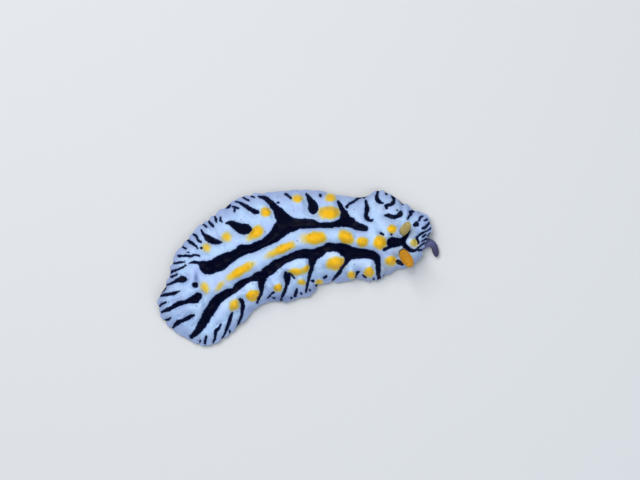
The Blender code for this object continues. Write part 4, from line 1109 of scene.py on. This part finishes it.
def make_moist_grain():
    """A group: grains of about 0.3 mm and soft swellings of 1 mm, as roughness and as a normal."""
    group = bpy.data.node_groups.new("moist_grain", "ShaderNodeTree")
    for label, way, kind in (("Place", "INPUT", "Vector"), ("Roughness", "INPUT", "Float"),
                             ("Depth", "INPUT", "Float"), ("Extra Height", "INPUT", "Float"),
                             ("Roughness", "OUTPUT", "Float"), ("Normal", "OUTPUT", "Vector")):
        group.interface.new_socket(label, in_out=way, socket_type="NodeSocket" + kind)
    given = group.nodes.new("NodeGroupInput").outputs
    result = group.nodes.new("NodeGroupOutput")
    fine = noise(given["Place"], 3.2, 3.0, 0.6)
    broad = noise(given["Place"], 0.9, 1.0)
    lumps = plus(times(fine, 0.35), times(broad, 0.65))
    height = plus(times(lumps, given["Depth"]), given["Extra Height"])
    bump = put(group, "ShaderNodeBump", [("Height", height), ("Distance", 0.001), ("Strength", 1.0)])
    spread = times(less(fine, 0.5), 0.30)
    fill(result, [("Roughness", plus(given["Roughness"], spread)), ("Normal", bump.outputs["Normal"])])
    return group


moist_grain = make_moist_grain()
print("group", moist_grain.name)

# %% [markdown]
# Each flesh starts alike: the moist grain, a low reflection as flesh has under water, and light that
# goes a little way in before it comes out again, most of all its red part.

# %% Start of a flesh
TO_MM = (1000, 1000, 1000)
LIGHT_DEPTH = 0.0004


def start_flesh(name, roughness, depth, specular, weight, radius):
    """A new material with the grain joined to it, and what else is needed to go on with its graph."""
    material = bpy.data.materials.new(name)
    material.use_nodes = True
    tree = material.node_tree
    shader = tree.nodes["Principled BSDF"]
    metres = put(tree, "ShaderNodeTexCoord").outputs["Object"]
    place = put(tree, "ShaderNodeMapping", [("Vector", metres), ("Scale", TO_MM)]).outputs[0]
    moist = put(tree, "ShaderNodeGroup", [("Place", place), ("Roughness", roughness), ("Depth", depth)],
                node_tree=moist_grain)
    fill(shader, [("Roughness", moist.outputs["Roughness"]), ("Normal", moist.outputs["Normal"]),
                  ("Specular IOR Level", specular), ("Subsurface Weight", weight),
                  ("Subsurface Radius", radius), ("Subsurface Scale", LIGHT_DEPTH)])
    return material, shader, place, moist


print("light goes", round(LIGHT_DEPTH / MM, 2), "mm into the flesh")

# %% [markdown]
# The skin's colours are layers. First the pale blue ground, mottled and patched, with painted light on
# the lit tops of knobs and ridges and painted shade low on the flanks. It turns greyer towards the margin,
# partly its own tone and partly painted shade where the skirt falls away, and darker beside the black,
# which is painted shade in the furrows. Then the yellow caps, deep in the middle and thin at their edge,
# where the ground shows through. Then the black, with a dark blue edge, and a few dark specks like grains
# of pepper. The underside, the head and the oral tentacles have greys of their own.

# %% Skin
BLUE = (0.40, 0.56, 0.83, 1)
LIGHT_BLUE = (0.50, 0.68, 0.90, 1)
GRAIN_BLUE = (0.30, 0.41, 0.68, 1)
LILAC = (0.36, 0.42, 0.80, 1)
# Partly the skin's own paler tone, partly painted light on the lit tops of knobs and ridges
PALE_AND_LIT_BLUE = (0.64, 0.78, 0.97, 1)
# Painted shade low on the flanks and by the head
SHADE_GREY = (0.36, 0.38, 0.36, 1)
# Dark smudges of the skin, partly painted shade on the low flanks, the tail and the head front
SMUDGE_AND_SHADE_BLUE = (0.14, 0.20, 0.42, 1)
# Partly the skin's own darker edge, partly painted shade where the skirt falls away
MARGIN_TONE_AND_SHADE_BLUE = (0.235, 0.285, 0.50, 1)
# Painted shade in the furrows beside the black
FURROW_SHADE_BLUE = (0.16, 0.22, 0.40, 1)
THIN_YELLOW = (0.62, 0.53, 0.13, 1)
YELLOW = (0.77, 0.43, 0.012, 1)
DEEP_YELLOW = (0.83, 0.455, 0.006, 1)
# Partly the caps' own paler tone, partly painted light on lit caps
PALE_AND_LIT_YELLOW = (0.66, 0.56, 0.12, 1)
GRAIN_YELLOW = (0.84, 0.56, 0.04, 1)
INK = (0.0004, 0.0012, 0.0105, 1)
INK_EDGE = (0.004, 0.011, 0.055, 1)
PEPPER = (0.03, 0.03, 0.045, 1)
UNDERSIDE = ((0.25, 0.28, 0.38, 1), (0.36, 0.40, 0.51, 1))
HEAD_GREY = ((0.20, 0.21, 0.30, 1), (0.30, 0.31, 0.40, 1))
FEELER = ((0.040, 0.038, 0.085, 1), (0.075, 0.070, 0.15, 1))
FEELER_ROOT = (0.12, 0.13, 0.27, 1)


def make_skin_material():
    """Ground, caps, bands and specks, by the values on the mesh and a little noise."""
    material, shader, place, moist = start_flesh("slug_skin", roughness=0.42, depth=0.22, specular=0.03,
                                                 weight=0.12, radius=(1.0, 0.9, 0.8))
    tree = material.node_tree
    # The pale patches are partly the skin's own tone and partly painted light on lit tops
    reach, zone, pale = value_of(tree, "reach"), value_of(tree, "zone"), value_of(tree, "pale")
    cloud = noise(place, 0.55, 4.0, 0.6)
    grain = noise(place, 4.5, 3.0, 0.65)
    ragged = sway(place, 2.6, 3.0, 0.6, 0.42)
    band = plus(plus(value_of(tree, "band"), ragged), sway(place, 0.9, 1.0, 0.5, 0.34))
    cap = plus(value_of(tree, "cap"), times(ragged, 0.32))
    inside = less(1.0, fade(band, 0.0, 0.12))
    ground = layered(mixed(fade(cloud, 0.35, 0.7), BLUE, LIGHT_BLUE), [
        (fade(grain, 0.50, 0.80), GRAIN_BLUE),
        (times(fade(noise(place, 0.28), 0.42, 0.68), 0.45), LILAC),
        # pale places: partly the skin's own tone, partly painted light on the lit tops of knobs and ridges
        (pale, PALE_AND_LIT_BLUE),
        # painted shade low on the flanks and by the head
        (value_of(tree, "painted_shade"), SHADE_GREY),
        # dark smudges of the skin, with painted shade on the low flanks, the tail and the head front
        (value_of(tree, "smudge_and_shade"), SMUDGE_AND_SHADE_BLUE),
        # towards the margin: partly the skin's own darker edge, partly painted shade where the skirt falls
        # away
        (times(fade(reach, 0.74, 1.0), 0.62), MARGIN_TONE_AND_SHADE_BLUE),
        # painted shade in the furrows beside the black
        (times(less(1.0, fade(band, 0.0, 0.6)), 0.30), FURROW_SHADE_BLUE)])
    yellow = layered(mixed(fade(cap, 0.26, 0.58), THIN_YELLOW, YELLOW), [
        (fade(cap, 0.55, 0.85), DEEP_YELLOW),
        # partly the caps' own paler tone, partly painted light on lit caps
        (pale, PALE_AND_LIT_YELLOW),
        (times(fade(grain, 0.52, 0.75), 0.35), GRAIN_YELLOW)])
    pepper = put(tree, "ShaderNodeTexVoronoi", [("Vector", place), ("Scale", 1.25), ("Randomness", 1.0)])
    chosen = put(tree, "ShaderNodeSeparateColor", [("Color", pepper.outputs["Color"])]).outputs[0]
    few = less(0.93, times(fade(cap, 0.2, 0.5), 0.38))
    speck = less(1.0, fade(pepper.outputs["Distance"], 0.13, 0.22))
    speck = times(speck, work("GREATER_THAN", chosen, few))
    lighter = fade(cloud, 0.3, 0.7)
    feeler = mixed(fade(grain, 0.35, 0.7), *FEELER)
    colour = layered(ground, [
        (fade(cap, 0.08, 0.38), yellow),
        (inside, mixed(fade(band, -0.34, 0.04), INK, INK_EDGE)),
        (times(speck, 0.8), PEPPER),
        (value_of(tree, "under"), mixed(lighter, *UNDERSIDE)),
        (work("GREATER_THAN", zone, HEAD_ZONE - 0.5), mixed(lighter, *HEAD_GREY)),
        (work("GREATER_THAN", zone, FEELER_ZONE - 0.5),
         mixed(fade(reach, 0.42, 0.78), FEELER_ROOT, feeler))])
    wet = plus(0.04, times(fade(cap, 0.3, 0.7), 0.22))
    wet = times(wet, less(1.0, times(inside, 0.7)))
    fill(shader, [("Base Color", colour), ("Coat Weight", wet), ("Coat Roughness", 0.10)])
    fill(moist, [("Extra Height", times(inside, -0.03))])
    return material


skin.data.materials.append(make_skin_material())
print("skin finished")

# %% [markdown]
# The rhinophores are ochre, the right one deep and the left one paler where the light goes through
# it. The hollows between their leaves carry painted shade and the leaf edges painted light, which the
# mesh tells by how far a point is from the middle of its leaf. The gills are thin grey plates, paler at their
# edge.

# %% Rhinophores and gills
# The deep colour of each, painted shade in the hollows between its leaves, and its pale one, painted light on
# the leaf edges
CLUB_COLOURS = {"rhinophore_left": ((0.20, 0.14, 0.045, 1), (0.46, 0.36, 0.14, 1)),
                "rhinophore_right": ((0.25, 0.10, 0.006, 1), (0.62, 0.28, 0.014, 1))}
GILL_COLOURS = ((0.16, 0.16, 0.20, 1), (0.42, 0.42, 0.46, 1))


def make_leafy_material(name, label, low, high, deep, pale):
    """Pale colour where the size of the named value is low, deep where it is high, with a mottle."""
    material, shader, place, _ = start_flesh(name, roughness=0.45, depth=0.05, specular=0.12,
                                             weight=0.15, radius=(1.0, 0.8, 0.5))
    away = work("ABSOLUTE", value_of(material.node_tree, label))
    share = plus(fade(away, low, high), sway(place, 1.8, 3.0, 0.6, 0.9))
    fill(shader, [("Base Color", mixed(fade(share, 0.0, 1.0), pale, deep))])
    return material


for name, colours in CLUB_COLOURS.items():
    # deep in the hollows between leaves as painted shade, pale on the leaf edges as painted light
    clubs[name].data.materials.append(make_leafy_material(name, "leaf", 0.35, 1.0, *colours))
gill_skin = make_leafy_material("gill_skin", "edge", 1.0, 0.2, *GILL_COLOURS)
for row in gills:
    row.data.materials.append(gill_skin)
print("rhinophores and gills finished")

# %% [markdown]
# Last, every piece is tied to the frame on the root that it rides on, and the solids that the skin
# and the rhinophores replace are hidden.

# %% Tie the pieces to the frame
FLESH = ["mantle_tail", "mantle_rear", "mantle_back", "mantle_shoulder", "mantle_head", "foot_tail",
         "foot_middle", "foot_front", "head", "oral_tentacle_left", "oral_tentacle_right"]
for piece in [skin, *clubs.values(), *gills]:
    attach(piece, "root")
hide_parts(*FLESH)
for name, club in clubs.items():
    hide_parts(name)
